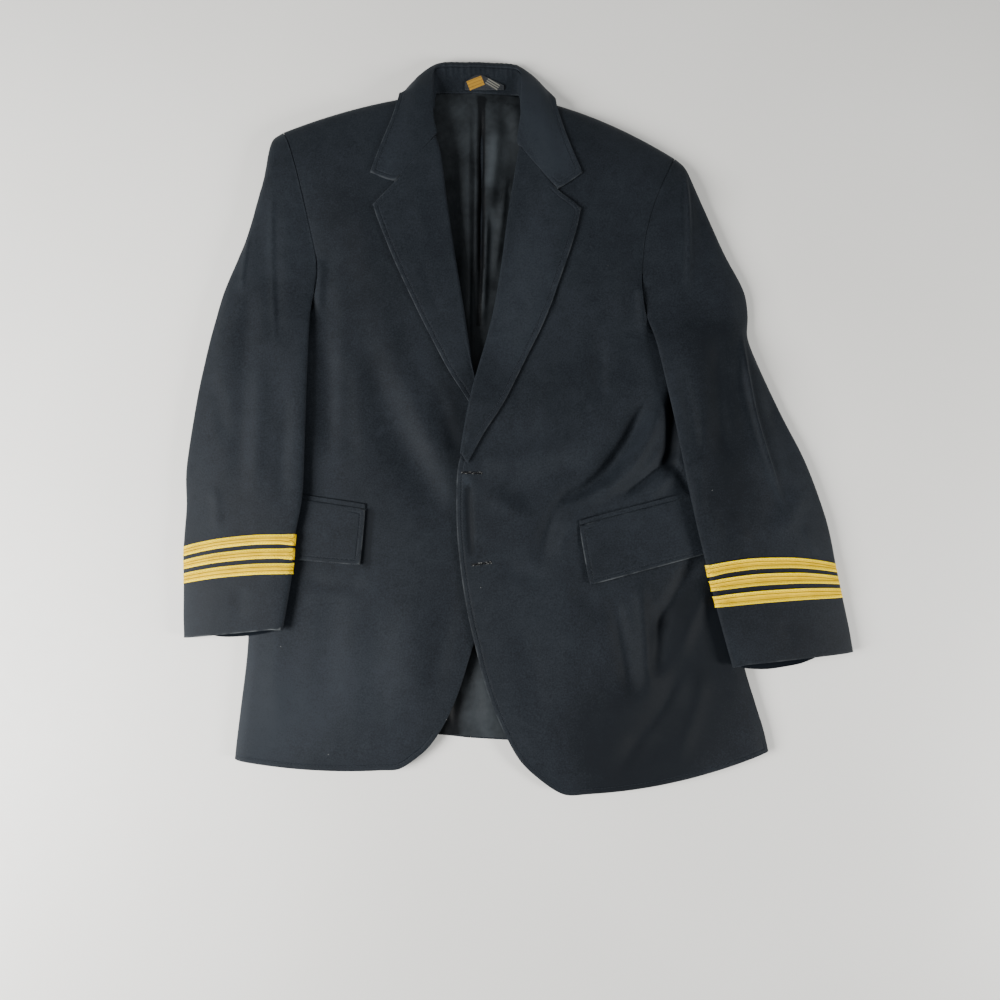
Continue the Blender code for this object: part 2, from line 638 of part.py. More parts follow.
def lapel_grid(side, table, front):
    """The lapel's outer face, from under the front's edge, round the roll and over the front."""
    roll_line = Edge([EdgeRow(row.place, row.in_y, row.in_x) for row in table])
    grid = []
    for roll_y, knee_x, knee_y, edge_x, edge_y in Sections(LAPEL[side]).stations(LAPEL_STEP):
        roll = Vector((roll_line.x(roll_y), roll_y, 0))
        knee = Vector((knee_x, knee_y, 0))
        edge = Vector((edge_x, edge_y, 0))
        outward = (knee - roll).normalized()
        inside = roll + outward * (ROLL_INSET + LAPEL_EDGE_IN)
        under_z = rest_height([front], inside.x, inside.y, LAPEL_UNDER_SLOPE, LAPEL_REACH)
        centre = roll + outward * LAPEL_ROLL + Vector((0, 0, under_z + LAPEL_LIFT + LAPEL_WALL - LAPEL_ROLL))
        line = [centre + outward * LAPEL_UNDER - Vector((0, 0, LAPEL_ROLL))]
        for degrees in (-90, -35, 20, 80):
            turn = math.radians(degrees)
            back = outward * LAPEL_ROLL * math.cos(turn)
            line.append(centre - back + Vector((0, 0, LAPEL_ROLL * math.sin(turn))))
        for k in range(1, LAPEL_COLUMNS + 1):
            share = k / LAPEL_COLUMNS
            if share <= KNEE_SHARE:
                point = roll.lerp(knee, share / KNEE_SHARE)
            else:
                point = knee.lerp(edge, (share - KNEE_SHARE) / (1 - KNEE_SHARE))
            low = rest_height([front], point.x, point.y, LAPEL_SLOPE, LAPEL_REACH)
            point.z = low + LAPEL_WALL + LAPEL_LIFT
            line.append(point)
        grid.append(line)
    return grid


def leaf_points(row, mirrored):
    """The leaf's line at one row: its start on the stand's side, the roll, the knee and the outer edge."""
    side = -1.0 if mirrored else 1.0
    points = []
    for x, y, z in (row[0:3], row[3:6], row[6:9]):
        skew = COLLAR_SKEW * x / 100 if mirrored else 0.0
        points.append(Vector((NECK_X + side * x, y + skew, z)))
    return points


def collar_grids(fronts):
    """The leaf's outer face and the stand's inner face, from the right notch round to the left one."""
    feet = [Vector(foot[1:]) for foot in STAND_FOOT]
    count = len(LEAF_HALF) + 1
    halves = []
    for side, mirrored in (("right", False), ("left", True)):
        rows = Sections([LEAF_GORGE[side]] + LEAF_HALF)
        half = []
        for i in range((count - 1) * LEAF_ROW_SPLIT + 1):
            place = i / LEAF_ROW_SPLIT
            whole = min(int(place), count - 2)
            knot = rows.knots[whole] + (rows.knots[whole + 1] - rows.knots[whole]) * (place - whole)
            roll, knee, edge = leaf_points(rows.at(knot), mirrored)
            foot = None
            if place >= 2:
                at = place - 2
                low = min(int(at), len(feet) - 2)
                foot = feet[low].lerp(feet[low + 1], at - low)
                skew = COLLAR_SKEW * foot.x / 100 if mirrored else 0.0
                foot = Vector((NECK_X + (-foot.x if mirrored else foot.x), foot.y + skew, foot.z))
            half.append((place, roll, knee, edge, foot))
        halves.append(half)
    line_up = halves[0] + halves[1][-2::-1]
    leaf = []
    stand = []
    for place, roll, knee, edge, foot in line_up:
        below = foot if foot else roll - Vector((0, 0, STAND_DROP))
        start = roll + (below - roll).normalized() * ROLL_RISE
        path = Sections([("", *start), ("", *roll), ("", *knee), ("", *edge)])
        path.knots = [0.0, 1.0, 2.0, 3.0]
        line = [Vector(path.at(column)) for column in LEAF_COLUMNS]
        if place == 0:
            line[3:] = [roll.lerp(knee, 0.6), knee, knee.lerp(edge, 0.5), edge]
        for point in line[2:]:
            if point.z > LEAF_OVER_Z:
                low = rest_height(fronts, point.x, point.y, LEAF_SLOPE, LEAF_REACH)
                point.z = max(point.z, low + COLLAR_WALL + LAY_GAP)
        leaf.append(line)
        if foot:
            head = roll + (below - roll).normalized() * (ROLL_RISE + 2 * SEAM_GAP)
            stand.append([head, head.lerp(foot, 0.5), foot])
    return leaf, stand


def sleeve_point(values, angle, surfaces, floor, folds):
    """A point of the sleeve's section: 0 degrees is the inner fold, 90 the top, 180 the outer fold."""
    in_x, in_y, out_x, out_y, bow, in_z, crown, out_z, fold = values
    fold = min(max(fold, 0.0), 1.0)
    power = 2 / SLEEVE_SQUARENESS
    cosine = math.cos(math.radians(angle))
    sine = math.sin(math.radians(angle))
    share = 0.5 - 0.5 * math.copysign(abs(cosine) ** power, cosine)
    rise = abs(sine) ** power
    inner = share < 0.5
    if angle < 0:
        share *= fold
    elif inner and sine < 0:
        share = share * fold + 2 * share * share * (1 - fold)
    x = in_x + (out_x - in_x) * share
    y = in_y + (out_y - in_y) * share + bow * 4 * share * (1 - share)
    top = in_z + (out_z - in_z) * share + crown * 4 * share * (1 - share)
    low = max(floor, (rest_height(surfaces, x, y, SLEEVE_SLOPE, SLEEVE_REACH) + SLEEVE_GAP) * fold)
    middle = min(low + SLEEVE_EDGE_RISE, 0.5 * (low + top))
    if sine >= 0:
        if inner:
            rise += (1 - rise) * (1 - fold)
        z = middle + (top - middle) * rise + fold_height(folds, x, y) * rise
    else:
        z = middle - (middle - low) * rise
        if angle < 0:
            z = z * fold + (top - LIP_HEIGHT) * (1 - fold)
        elif inner:
            z = z * fold + low * (1 - fold)
    return Vector((x, y, z))


def braid_edges(side):
    """The sleeve's sections at the upper and lower edges of its braid, from the first row to the last."""
    sections = Sections(SLEEVE[side])
    found = []
    for row in range(BRAID_ROWS):
        head = row * (1 - BRAID_SHARE) / (BRAID_ROWS - 1)
        found.append(sections.between("braid head", "braid foot", head))
        found.append(sections.between("braid head", "braid foot", head + BRAID_SHARE))
    return found


def sleeve_stations(side):
    """All the sleeve's sections, with the braid's edges among them."""
    edges = braid_edges(side)
    found = Sections(SLEEVE[side]).stations(SLEEVE_STEP)
    above = [values for values in found if values[1] > edges[0][1] + 1]
    below = [values for values in found if values[1] < edges[-1][1] - 1]
    return above + edges + below


def sleeve_grids(side, surfaces):
    """The outer faces of the topsleeve and of the undersleeve, whose edges lie a seam's gap apart."""
    armhole = Edge(ARMHOLE[side])
    outward = -SEAM_GAP if side == "right" else SEAM_GAP
    folds = SLEEVE_FOLDS[side]
    top = []
    under = []
    for values in sleeve_stations(side):
        if values[1] > armhole.foot:
            values[0] = armhole.x(values[1]) + outward
        fold = min(max(values[-1], 0.0), 1.0)
        floor = CUFF_FLOOR * eased((armhole.foot - values[1]) / FLOOR_RAMP)
        over = [sleeve_point(values, angle, surfaces, floor, folds) for angle in TOP_ANGLES]
        line = [sleeve_point(values, angle, surfaces, floor, folds) for angle in UNDER_ANGLES]
        line[0] = over[-1] + SLEEVE_SEAM * (line[1] - over[-1]).normalized()
        inner = over[0] + 1.5 * SLEEVE_SEAM * (line[-2] - over[0]).normalized()
        line[-1] = line[-1].lerp(inner, fold)
        top.append(over)
        under.append(line)
    for j, point in enumerate(under[-1]):
        point.y -= UNDER_CUFF_DROP[side] * math.sin(math.pi * (j + 0.5) / len(under[-1]))
    return top, under


def braid_rings(side, row, surfaces):
    """The upper and the lower edge of a row of braid on the sleeve's outer face."""
    folds = SLEEVE_FOLDS[side]
    angles = TOP_ANGLES + UNDER_ANGLES[1:-1]
    edges = braid_edges(side)[2 * row:2 * row + 2]
    return [[sleeve_point(values, a, surfaces, CUFF_FLOOR, folds) for a in angles] for values in edges]


def flat_grid(table, step, columns, first_edge, last_edge, height):
    """A piece that lies flat. An edge that is a seam takes its x from it."""
    grid = []
    for a_x, a_y, b_x, b_y, bow in Sections(table).stations(step):
        a_x = first_edge(a_y) if first_edge else a_x
        b_x = last_edge(b_y, b_x) if last_edge else b_x
        line = []
        for j in range(columns + 1):
            share = j / columns
            x = a_x + (b_x - a_x) * share
            y = a_y + (b_y - a_y) * share + bow * 4 * share * (1 - share)
            line.append(Vector((x, y, height(x, y))))
        grid.append(line)
    return grid


def collar_rise(x, y, early=0.0):
    """The lift of the back's neck over the collar's fall, which lies under it. It starts a little early."""
    up = (y + early - COLLAR_RISE_FROM) / (COLLAR_RISE_TO - COLLAR_RISE_FROM)
    across = (COLLAR_RISE_HALF + early - abs(x - NECK_X)) / COLLAR_RISE_RAMP
    return COLLAR_RISE * eased(up) * eased(across)


def lining_height(x, y):
    """The back lining's upper face, with a pleat down its centre that lies towards the right."""
    pleat = PLEAT_DEPTH * math.exp(-max(PLEAT_X - x, 0) / PLEAT_SPREAD)
    pleat *= eased((PLEAT_X - x) / PLEAT_WIDTH + 0.5) * eased((PLEAT_TOP - y) / PLEAT_FADE)
    return TWILL + SEAM_GAP + LINING_WALL + collar_rise(x, y, LINING_EARLY) + pleat


def outline_x(grid, y):
    """The x of a front's outer edge at this y."""
    for upper, lower in zip(grid, grid[1:]):
        a = upper[-1]
        b = lower[-1]
        if a.y >= y >= b.y and a.y > b.y:
            return a.x + (b.x - a.x) * (a.y - y) / (a.y - b.y)
    return grid[-1][-1].x


def flap_grid(side, front):
    """A pocket flap that lies on its front, a little lifted at its foot."""
    flap = FLAPS[side]
    grid = []
    for i in range(FLAP_ROWS + 1):
        down = i / FLAP_ROWS
        line = []
        for j in range(FLAP_COLUMNS + 1):
            across = j / FLAP_COLUMNS
            top = Vector((flap.x0, flap.y0)).lerp(Vector((flap.x1, flap.y1)), across)
            foot = Vector((flap.x3, flap.y3)).lerp(Vector((flap.x2, flap.y2)), across)
            spot = top.lerp(foot, down)
            low = rest_height([front], spot.x, spot.y, FLAP_SLOPE, FLAP_REACH)
            z = low + LAY_GAP + FLAP_WALL + FLAP_FOOT_LIFT * down * down
            line.append(Vector((spot.x, spot.y, z)))
        grid.append(line)
    return grid


def jet_grid(side, front):
    """The narrow welt along the pocket's mouth, above the flap."""
    flap = FLAPS[side]
    grid = []
    for i in range(2):
        rise = SEAM_GAP + JET_HEIGHT * (1 - i)
        line = []
        for j in range(FLAP_COLUMNS + 1):
            spot = Vector((flap.x0, flap.y0)).lerp(Vector((flap.x1, flap.y1)), j / FLAP_COLUMNS)
            low = rest_height([front], spot.x, spot.y + rise, FLAP_SLOPE, FLAP_REACH)
            line.append(Vector((spot.x, spot.y + rise, low + LAY_GAP + JET_WALL)))
        grid.append(line)
    return grid


def label_grid(stand):
    """The label on the stand, from its peaked top edge down to its foot."""
    tops = Sections(LABEL_TOP).stations(LABEL_STEP)
    surface = Surface(stand)
    grid = []
    for i in range(3):
        line = []
        for x, y, _ in tops:
            spot_y = y + (LABEL_FOOT_Y - y) * i / 2
            line.append(Vector((x, spot_y, surface.height(x, spot_y) + SEAM_GAP + LABEL_WALL)))
        grid.append(line)
    return grid


for old in list(bpy.data.objects):
    bpy.data.objects.remove(old)
parts = bpy.data.collections.new(OBJECT_NAME)
bpy.context.scene.collection.children.link(parts)

# Fronts and lapels, from the one underneath up
front_right = front_grid("right", FRONT_RIGHT, FRONT_RIGHT_FOLDS)
make_sheet("front_right", front_right, TWILL, "navy_twill")
right_face = Surface(front_right)
lapel_right = lapel_grid("right", FRONT_RIGHT, right_face)
make_sheet("lapel_right", lapel_right, LAPEL_WALL, "navy_twill")

front_left = front_grid("left", FRONT_LEFT, FRONT_LEFT_FOLDS)
lap_over(front_left, [right_face, Surface(lapel_right)], BREAK_Y["left"])
make_sheet("front_left", front_left, TWILL, "navy_twill")
left_face = Surface(front_left)
lapel_left = lapel_grid("left", FRONT_LEFT, left_face)
make_sheet("lapel_left", lapel_left, LAPEL_WALL, "navy_twill")

# Collar
leaf, stand = collar_grids([right_face, left_face])
make_sheet("collar_leaf", leaf, COLLAR_WALL, "navy_twill")
make_sheet("collar_stand", stand, COLLAR_WALL, "navy_twill")
make_sheet("neck_label", label_grid(stand), LABEL_WALL, "label_cloth")

# Pockets
flaps = {}
jets = {}
for side, face in (("right", right_face), ("left", left_face)):
    flaps[side] = flap_grid(side, face)
    jets[side] = jet_grid(side, face)
    make_sheet(f"flap_{side}", flaps[side], FLAP_WALL, "navy_twill")
    make_sheet(f"jet_{side}", jets[side], JET_WALL, "navy_twill")

# Back, side panels and the back lining
centre = Edge(CENTRE_SEAM)
for side, front, inward in (("right", front_right, 1.0), ("left", front_left, -1.0)):
    side_seam = Edge(SIDE_SEAM[side])
    armhole = Edge(ARMHOLE[side])
    half_gap = 0.75 * SEAM_GAP * inward

    def back_edge(y, x):
        if y > armhole.foot:
            return armhole.x(y) + SEAM_GAP * inward
        return side_seam.x(y) + half_gap

    def side_outline(y, x):
        return x if y > SIDE_TOP_Y else outline_x(front, y) + SEAM_GAP * inward

    back = flat_grid(
        BACK_SECTIONS[side], BACK_STEP, BACK_COLUMNS, lambda y: centre.x(y) - half_gap, back_edge, collar_rise
    )
    make_sheet(f"back_{side}", back, TWILL, "navy_twill", under=True)
    panel = flat_grid(
        SIDE_SECTIONS[side],
        BACK_STEP,
        SIDE_COLUMNS,
        lambda y: side_seam.x(y) - half_gap,
        side_outline,
        collar_rise,
    )
    make_sheet(f"side_{side}", panel, TWILL, "navy_twill", under=True)
lining = flat_grid(LINING, LINING_STEP, LINING_COLUMNS, None, None, lining_height)
make_sheet("lining_back", lining, LINING_WALL, "black_satin")

# Sleeves and their braid
for side, front in (("right", front_right), ("left", front_left)):
    below = [Surface(front), Surface(flaps[side]), Surface(jets[side])]
    top, under = sleeve_grids(side, below)
    make_sheet(f"topsleeve_{side}", top, SLEEVE_WALL, "navy_twill")
    make_sheet(f"undersleeve_{side}", under, SLEEVE_WALL, "navy_twill", under=True)
    for row in range(BRAID_ROWS):
        rings = ring_moved_out(braid_rings(side, row, below), BRAID_GAP)
        make_sheet(f"braid_{side}_{row + 1}", rings, BRAID_WALL, "gold_braid", ring=True)
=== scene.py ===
"""Pilot uniform jacket, single-breasted, laid flat on its back with the left front lapped over the right.

+X is the wearer's left, +Y runs up to the collar and +Z is up off the floor. Left and right are the wearer's.
Tables give plan millimetres, and meshes are metres.
"""
import math
from collections import namedtuple

import bmesh
import bpy
import numpy as np
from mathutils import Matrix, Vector
from mathutils.bvhtree import BVHTree
from mathutils.kdtree import KDTree


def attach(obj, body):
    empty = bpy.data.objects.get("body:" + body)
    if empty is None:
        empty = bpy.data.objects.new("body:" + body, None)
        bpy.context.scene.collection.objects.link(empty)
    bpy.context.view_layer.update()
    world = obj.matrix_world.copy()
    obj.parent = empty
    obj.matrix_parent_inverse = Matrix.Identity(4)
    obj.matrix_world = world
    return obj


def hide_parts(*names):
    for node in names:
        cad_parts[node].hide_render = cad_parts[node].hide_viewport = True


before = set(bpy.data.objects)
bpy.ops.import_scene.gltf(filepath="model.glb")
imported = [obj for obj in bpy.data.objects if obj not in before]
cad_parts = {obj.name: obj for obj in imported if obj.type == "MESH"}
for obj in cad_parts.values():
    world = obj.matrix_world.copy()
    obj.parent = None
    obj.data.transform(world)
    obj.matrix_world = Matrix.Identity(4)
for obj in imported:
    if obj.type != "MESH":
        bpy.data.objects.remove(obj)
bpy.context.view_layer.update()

# Fronts, right and left. Each is navy uniform twill, cut in one piece from the shoulder to the hem and rolled
# under at the side. The edges are turned in, pressed and topstitched, and the left front laps over the right
# one. The cloth has the soft troughs and ridges of a jacket that is laid down by hand.
MM = 0.001
TWILL_WALL = 1.6
RIM_SHARE = 1.35
RIM_TURN = 0.6
RIM_CREASE = 0.68
CORNER_TURN = 0.6
JOIN_FACE_TURN = 0.7
JOIN_SHAPE_TURN = 0.9
FINE = 3
PLAIN = 2
FIT_ROUNDS = 2
FIT_SHARE = 0.9
FOLD_POINTS = 17
FOLD_REACH = 3
FOLD_FADE = 0.3
UPPER_FACE = 0.3
UPRIGHT_FROM = 0.2
UPRIGHT_SPAN = 0.6
FLOOR_SPAN = 6

Fold = namedtuple("Fold", "x0 y0 x1 y1 x2 y2 width height crisp", defaults=(1.0,))
Tone = namedtuple("Tone", "x0 y0 x1 y1 width amount")
Window = namedtuple("Window", "x0 y0 x1 y1 cuts")

RIGHT_FRONT_FOLDS = [
    Fold(-226, 178, -228, 142, -229, 104, 7, 3.6),
    Fold(-179, 99, -150, -10, -73, -143, 20, -3.4),
    Fold(-120, 20, -96, -66, -60, -118, 14, 1.6),
    Fold(-196, 63, -190, 0, -184, -82, 12, -1.5, 0.8),
    Fold(-163, 150, -150, 60, -118, -12, 18, 1.6),
    Fold(-208, 170, -200, 90, -204, 20, 12, 1.2),
    Fold(-216, 90, -210, 10, -214, -70, 12, -2.0, 0.7),
    Fold(-136, 60, -112, -20, -66, -78, 15, 1.2),
    Fold(-110, -205, -122, -280, -104, -350, 20, 1.8),
    Fold(-196, -200, -212, -270, -204, -352, 18, -1.4),
    Fold(-262, -205, -266, -290, -260, -372, 15, 1.2),
    Fold(-150, -215, -160, -290, -150, -375, 18, -1.2),
    Fold(-66, -195, -78, -262, -96, -335, 12, -1.4),
    Fold(-92, 30, -80, -30, -62, -60, 9, -1.4),
    Fold(-240, -196, -200, -208, -160, -200, 8, -1.6, 0.6),
    Fold(-180, 240, -170, 190, -176, 130, 16, 1.4),
]
LEFT_FRONT_FOLDS = [
    Fold(146, 150, 146, 114, 150, 78, 7, 3.8),
    Fold(170, 22, 142, -96, 60, -116, 7.5, 9.5),
    Fold(154, 26, 118, -98, 38, -112, 6.5, -6.0, 0.75),
    Fold(184, 40, 180, -36, 168, -92, 7, -9.0),
    Fold(184, -44, 156, -86, 112, -108, 5.5, -7.0, 0.7),
    Fold(174, -58, 188, -84, 202, -106, 5, -3.4, 0.7),
    Fold(178, -76, 164, -94, 146, -106, 6, 2.6),
    Fold(82, -84, 32, -116, 26, -188, 9, -4.2, 0.7),
    Fold(98, -108, 56, -126, 46, -188, 9, 3.0),
    Fold(-20, -104, 33, -96, 90, -50, 17, -4.2, 0.8),
    Fold(-44, -70, 10, -74, 74, -34, 13, 2.4),
    Fold(-42, -98, -10, -118, 20, -128, 9, 1.4),
    Fold(-24, -180, 8, -196, 44, -194, 10, -1.8),
    Fold(99, 92, 97, 40, 96, -8, 8, -2.4, 0.8),
    Fold(40, 141, 43, 126, 46, 108, 7, -1.4),
    Fold(102, -202, 120, -268, 127, -336, 9.5, -5.4),
    Fold(134, -190, 143, -256, 142, -326, 8, 5.2),
    Fold(163, -222, 158, -262, 148, -310, 8.5, -4.4),
    Fold(214, -166, 176, -208, 148, -270, 9.5, -5.6),
    Fold(220, -196, 192, -232, 172, -294, 10, 3.8),
    Fold(56, -204, 84, -220, 104, -246, 12, -2.6),
    Fold(190, -280, 168, -346, 96, -416, 13, -5.4),
    Fold(204, -288, 196, -340, 166, -400, 12, 2.8),
    Fold(166, -290, 132, -330, 74, -360, 14, 2.6),
    Fold(226, -190, 238, -260, 246, -340, 14, 1.2),
    Fold(60, -232, 56, -290, 70, -360, 16, 1.8),
    Fold(8, -240, 14, -300, 30, -360, 14, -1.8),
    Fold(60, 60, 40, 10, 30, -50, 15, 1.8),
    Fold(132, 110, 126, 60, 130, 20, 12, -1.4),
    Fold(110, 200, 118, 150, 112, 96, 14, 1.4),
    Fold(-54, -86, -53, -130, -50, -176, 3.4, -1.8),
]
# Darker and paler places on the right front, most of them painted light: the flap's painted shadow beside its
# inner edge, painted shade beside the lapel's lower end and on the chest beside the sleeve, and a painted
# highlight low on the side.
RIGHT_FRONT_TONES_AND_PAINTED_LIGHT = [
    Tone(-163, -124, -167, -180, 3.6, -1.5),
    Tone(-150, -26, -156, -34, 3.0, 0.35),
    Tone(-190, -300, -280, -350, 70.0, 0.45),
    Tone(-86, 60, -62, -60, 14.0, -0.30),
    Tone(-200, 220, -160, 60, 46.0, -0.26),
]
# Darker and paler places on the left front. Painted shade: the strip along the edge below the top buttonhole,
# the hollow beside the waist roll and the wide patch over the lower side. The narrow pale marks at the hem
# and by the top buttonhole are paler places in the cloth.
LEFT_FRONT_TONES_AND_PAINTED_LIGHT = [
    Tone(120, -424, 240, -398, 5.0, 0.25),
    Tone(-58, -84, -52, -92, 4.0, 0.55),
    Tone(-54, -96, -50, -168, 2.6, -1.2),
    Tone(180, -4, 172, -66, 7.0, -1.6),
    Tone(210, -270, 130, -390, 70.0, -0.8),
]

FRONT_STITCHING = {
    "left": [[(-58, -78), (-62, -100), (-59, -148), (-51, -220), (-41, -264), (-24, -327), (-4, -369),
              (20, -398), (57, -422), (80, -422), (130, -416), (205, -403), (268, -388)]],
    "right": [[(-98, -378), (-120, -393), (-150, -396), (-230, -392), (-296, -388)]],
}
SEWN_REACH = 9.0


def eased(value):
    """0 to 1 with a soft start and end, for arrays too."""
    value = np.clip(value, 0.0, 1.0)
    return value * value * (3 - 2 * value)


def nearest_on_path(xs, ys, path):
    """For points in plan: distance to a path, share of the way along it, and which side of it each is on."""
    nearest = np.full(len(xs), np.inf)
    along = np.zeros(len(xs))
    side = np.zeros(len(xs))
    steps = len(path) - 1
    for i in range(steps):
        (ax, ay), (bx, by) = path[i], path[i + 1]
        dx, dy = bx - ax, by - ay
        t = np.clip(((xs - ax) * dx + (ys - ay) * dy) / (dx * dx + dy * dy), 0, 1)
        off_x, off_y = xs - ax - t * dx, ys - ay - t * dy
        distance = np.hypot(off_x, off_y)
        closer = distance < nearest
        nearest[closer] = distance[closer]
        along[closer] = ((i + t) / steps)[closer]
        side[closer] = (dx * off_y - dy * off_x)[closer]
    return nearest, along, side


def fold_heights(folds, xs, ys):
    """How far the listed folds lift or sink the cloth. A fold under 1 crisp is steeper on its left side."""
    total = np.zeros(len(xs))
    steps = np.linspace(0, 1, FOLD_POINTS)
    for fold in folds:
        path = [
            ((1 - t) ** 2 * fold.x0 + 2 * t * (1 - t) * fold.x1 + t * t * fold.x2,
             (1 - t) ** 2 * fold.y0 + 2 * t * (1 - t) * fold.y1 + t * t * fold.y2)
            for t in steps
        ]
        reach = FOLD_REACH * fold.width
        low_x, low_y = np.min(path, axis=0) - reach
        high_x, high_y = np.max(path, axis=0) + reach
        near = np.flatnonzero((xs > low_x) & (xs < high_x) & (ys > low_y) & (ys < high_y))
        if not len(near):
            continue
        distance, along, side = nearest_on_path(xs[near], ys[near], path)
        width = np.where(side > 0, fold.width * fold.crisp, fold.width)
        fade = eased(along / FOLD_FADE) * eased((1 - along) / FOLD_FADE)
        total[near] += fold.height * fade * np.exp(-(distance / width) ** 2)
    return total


def tone_values(tones_and_painted_light, xs, ys):
    """Paler or darker places on the cloth, most of them painted shade and painted highlight that stand for
    how the light falls.
    """
    total = np.zeros(len(xs))
    for tone_and_painted_light in tones_and_painted_light:
        path = [(tone_and_painted_light.x0, tone_and_painted_light.y0), (tone_and_painted_light.x1, tone_and_painted_light.y1)]
        distance, _, _ = nearest_on_path(xs, ys, path)
        total += tone_and_painted_light.amount * np.exp(-(distance / tone_and_painted_light.width) ** 2)
    return total


def wall_quads(name, wall):
    """A node's closed wall with its quads joined again.

    The narrow faces of its rim get material 1 and a crease, and the rim's sharp corners get one too.
    """
    shape = bmesh.new()
    shape.from_mesh(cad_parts[name].data)
    bmesh.ops.remove_doubles(shape, verts=shape.verts, dist=1e-6)
    bmesh.ops.join_triangles(shape, faces=shape.faces, angle_face_threshold=JOIN_FACE_TURN,
                             angle_shape_threshold=JOIN_SHAPE_TURN)
    crease = shape.edges.layers.float.new("crease_edge")
    corner = shape.verts.layers.float.new("crease_vert")
    narrow = RIM_SHARE * wall * MM
    for face in shape.faces:
        face.smooth = True
        face.material_index = 0
        if len(face.edges) != 4:
            continue
        lengths = [edge.calc_length() for edge in face.edges]
        for k in range(2):
            across = max(lengths[k], lengths[k + 2])
            along = min(lengths[k + 1], lengths[(k + 3) % 4])
            steep = min(face.edges[k + 1].calc_face_angle(0), face.edges[(k + 3) % 4].calc_face_angle(0))
            if across < narrow and along > across and steep > RIM_TURN:
                face.material_index = 1
                face.edges[k + 1][crease] = RIM_CREASE
                face.edges[(k + 3) % 4][crease] = RIM_CREASE
    for vert in shape.verts:
        rim = [edge for edge in vert.link_edges if edge[crease]]
        if len(rim) == 2:
            here, there = (edge.other_vert(vert).co - vert.co for edge in rim)
            if here.angle(-there, 0) > CORNER_TURN:
                vert[corner] = 1.0
    mesh = bpy.data.meshes.new(name)
    shape.to_mesh(mesh)
    shape.free()
    return mesh


def points_of(mesh):
    """The mesh's points as rows of x, y and z."""
    points = np.empty(3 * len(mesh.vertices))
    mesh.vertices.foreach_get("co", points)
    return points.reshape(-1, 3)


def put_points(mesh, points):
    """Moves the mesh's points to these rows of x, y and z."""
    mesh.vertices.foreach_set("co", np.asarray(points, dtype=np.float32).ravel())
    mesh.update()


def smoothed(mesh, levels, rounded):
    """The subdivided mesh, whose surface still passes through the points of the wall that it is made from."""
    holder = bpy.data.objects.new("smoothing", mesh)
    bpy.context.scene.collection.objects.link(holder)
    smooth = holder.modifiers.new("smooth", "SUBSURF")
    smooth.levels = levels
    smooth.subdivision_type = "CATMULL_CLARK" if rounded else "SIMPLE"
    aims = points_of(mesh)
    for _ in range(FIT_ROUNDS):
        fine = holder.evaluated_get(bpy.context.evaluated_depsgraph_get()).data
        reached = points_of(fine)[:len(aims)]
        put_points(mesh, points_of(mesh) + FIT_SHARE * (aims - reached))
        holder.update_tag()
        bpy.context.view_layer.update()
    fine = bpy.data.meshes.new_from_object(holder.evaluated_get(bpy.context.evaluated_depsgraph_get()))
    bpy.data.objects.remove(holder)
    return fine


def make_finer(mesh, window):
    """Splits the upper faces inside a window of the plan, for folds that are narrower than the mesh."""
    shape = bmesh.new()
    shape.from_mesh(mesh)
    picked = set()
    for face in shape.faces:
        x, y, _ = face.calc_center_median() / MM
        if face.normal.z > UPPER_FACE and window.x0 < x < window.x1 and window.y0 < y < window.y1:
            picked.update(face.edges)
    bmesh.ops.subdivide_edges(shape, edges=list(picked), cuts=window.cuts, use_grid_fill=True)
    shape.to_mesh(mesh)
    shape.free()


def edge_distances(mesh):
    """Millimetres from each point of a wall to its rim."""
    rim = [face for face in mesh.polygons if face.material_index == 1]
    points = points_of(mesh)
    places = set()
    for face in rim:
        ring = list(face.vertices)
        for a, b in zip(ring, ring[1:] + ring[:1]):
            places.add((min(a, b), max(a, b)))
    places = sorted(places)
    tree = KDTree(2 * len(places))
    for k, (a, b) in enumerate(places):
        tree.insert(points[a], 2 * k)
        tree.insert(0.5 * (points[a] + points[b]), 2 * k + 1)
    tree.balance()
    return np.array([tree.find(point)[2] if places else 1.0 for point in points]) / MM


def set_values(mesh, name, values):
    """Stores one number a point, for the material to read."""
    attribute = mesh.attributes.new(name, "FLOAT", "POINT")
    attribute.data.foreach_set("value", np.asarray(values, dtype=np.float32))


stitching = {}


def dress(node, wall, levels, folds, shading, tones_and_painted_light=(), sewn=(), floor=None, rounded=True,
          finer=()):
    """Replaces a node with its cloth: smooth, creased by the folds, and marked for its material.

    The marks are the distance to the rim, the paler or darker places, most of them painted shade and painted
    highlight, and how near the sewn edges are. With a floor, folds fade out below that height. A finer window
    has its upper faces split before they are creased.
    """
    mesh = smoothed(wall_quads(node, wall), levels, rounded)
    for window in finer:
        make_finer(mesh, window)
    points = points_of(mesh)
    normals = np.empty(3 * len(points))
    mesh.vertices.foreach_get("normal", normals)
    upright = np.abs(normals.reshape(-1, 3)[:, 2])
    xs, ys = points[:, 0] / MM, points[:, 1] / MM
    moves = fold_heights(folds, xs, ys) * eased((upright - UPRIGHT_FROM) / UPRIGHT_SPAN)
    if floor is not None:
        moves *= eased((points[:, 2] / MM - floor) / FLOOR_SPAN)
    points[:, 2] = np.maximum(points[:, 2] + moves * MM, 0.0)
    set_values(mesh, "edge", edge_distances(mesh))
    set_values(mesh, "tone_and_painted_light", tone_values(tones_and_painted_light, xs, ys))
    near = np.zeros(len(xs))
    for row in sewn:
        near = np.maximum(near, eased(2 - nearest_on_path(xs, ys, row)[0] / SEWN_REACH))
    set_values(mesh, "sewn", near)
    stitching[node] = sewn
    put_points(mesh, points)
    mesh.polygons.foreach_set("material_index", np.zeros(len(mesh.polygons), dtype=np.int32))
    mesh.materials.clear()
    mesh.materials.append(shading.material)
    mesh.shade_smooth()
    piece = bpy.data.objects.new(node + "_cloth", mesh)
    bpy.context.scene.collection.objects.link(piece)
    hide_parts(node)
    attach(piece, "root")
    return piece


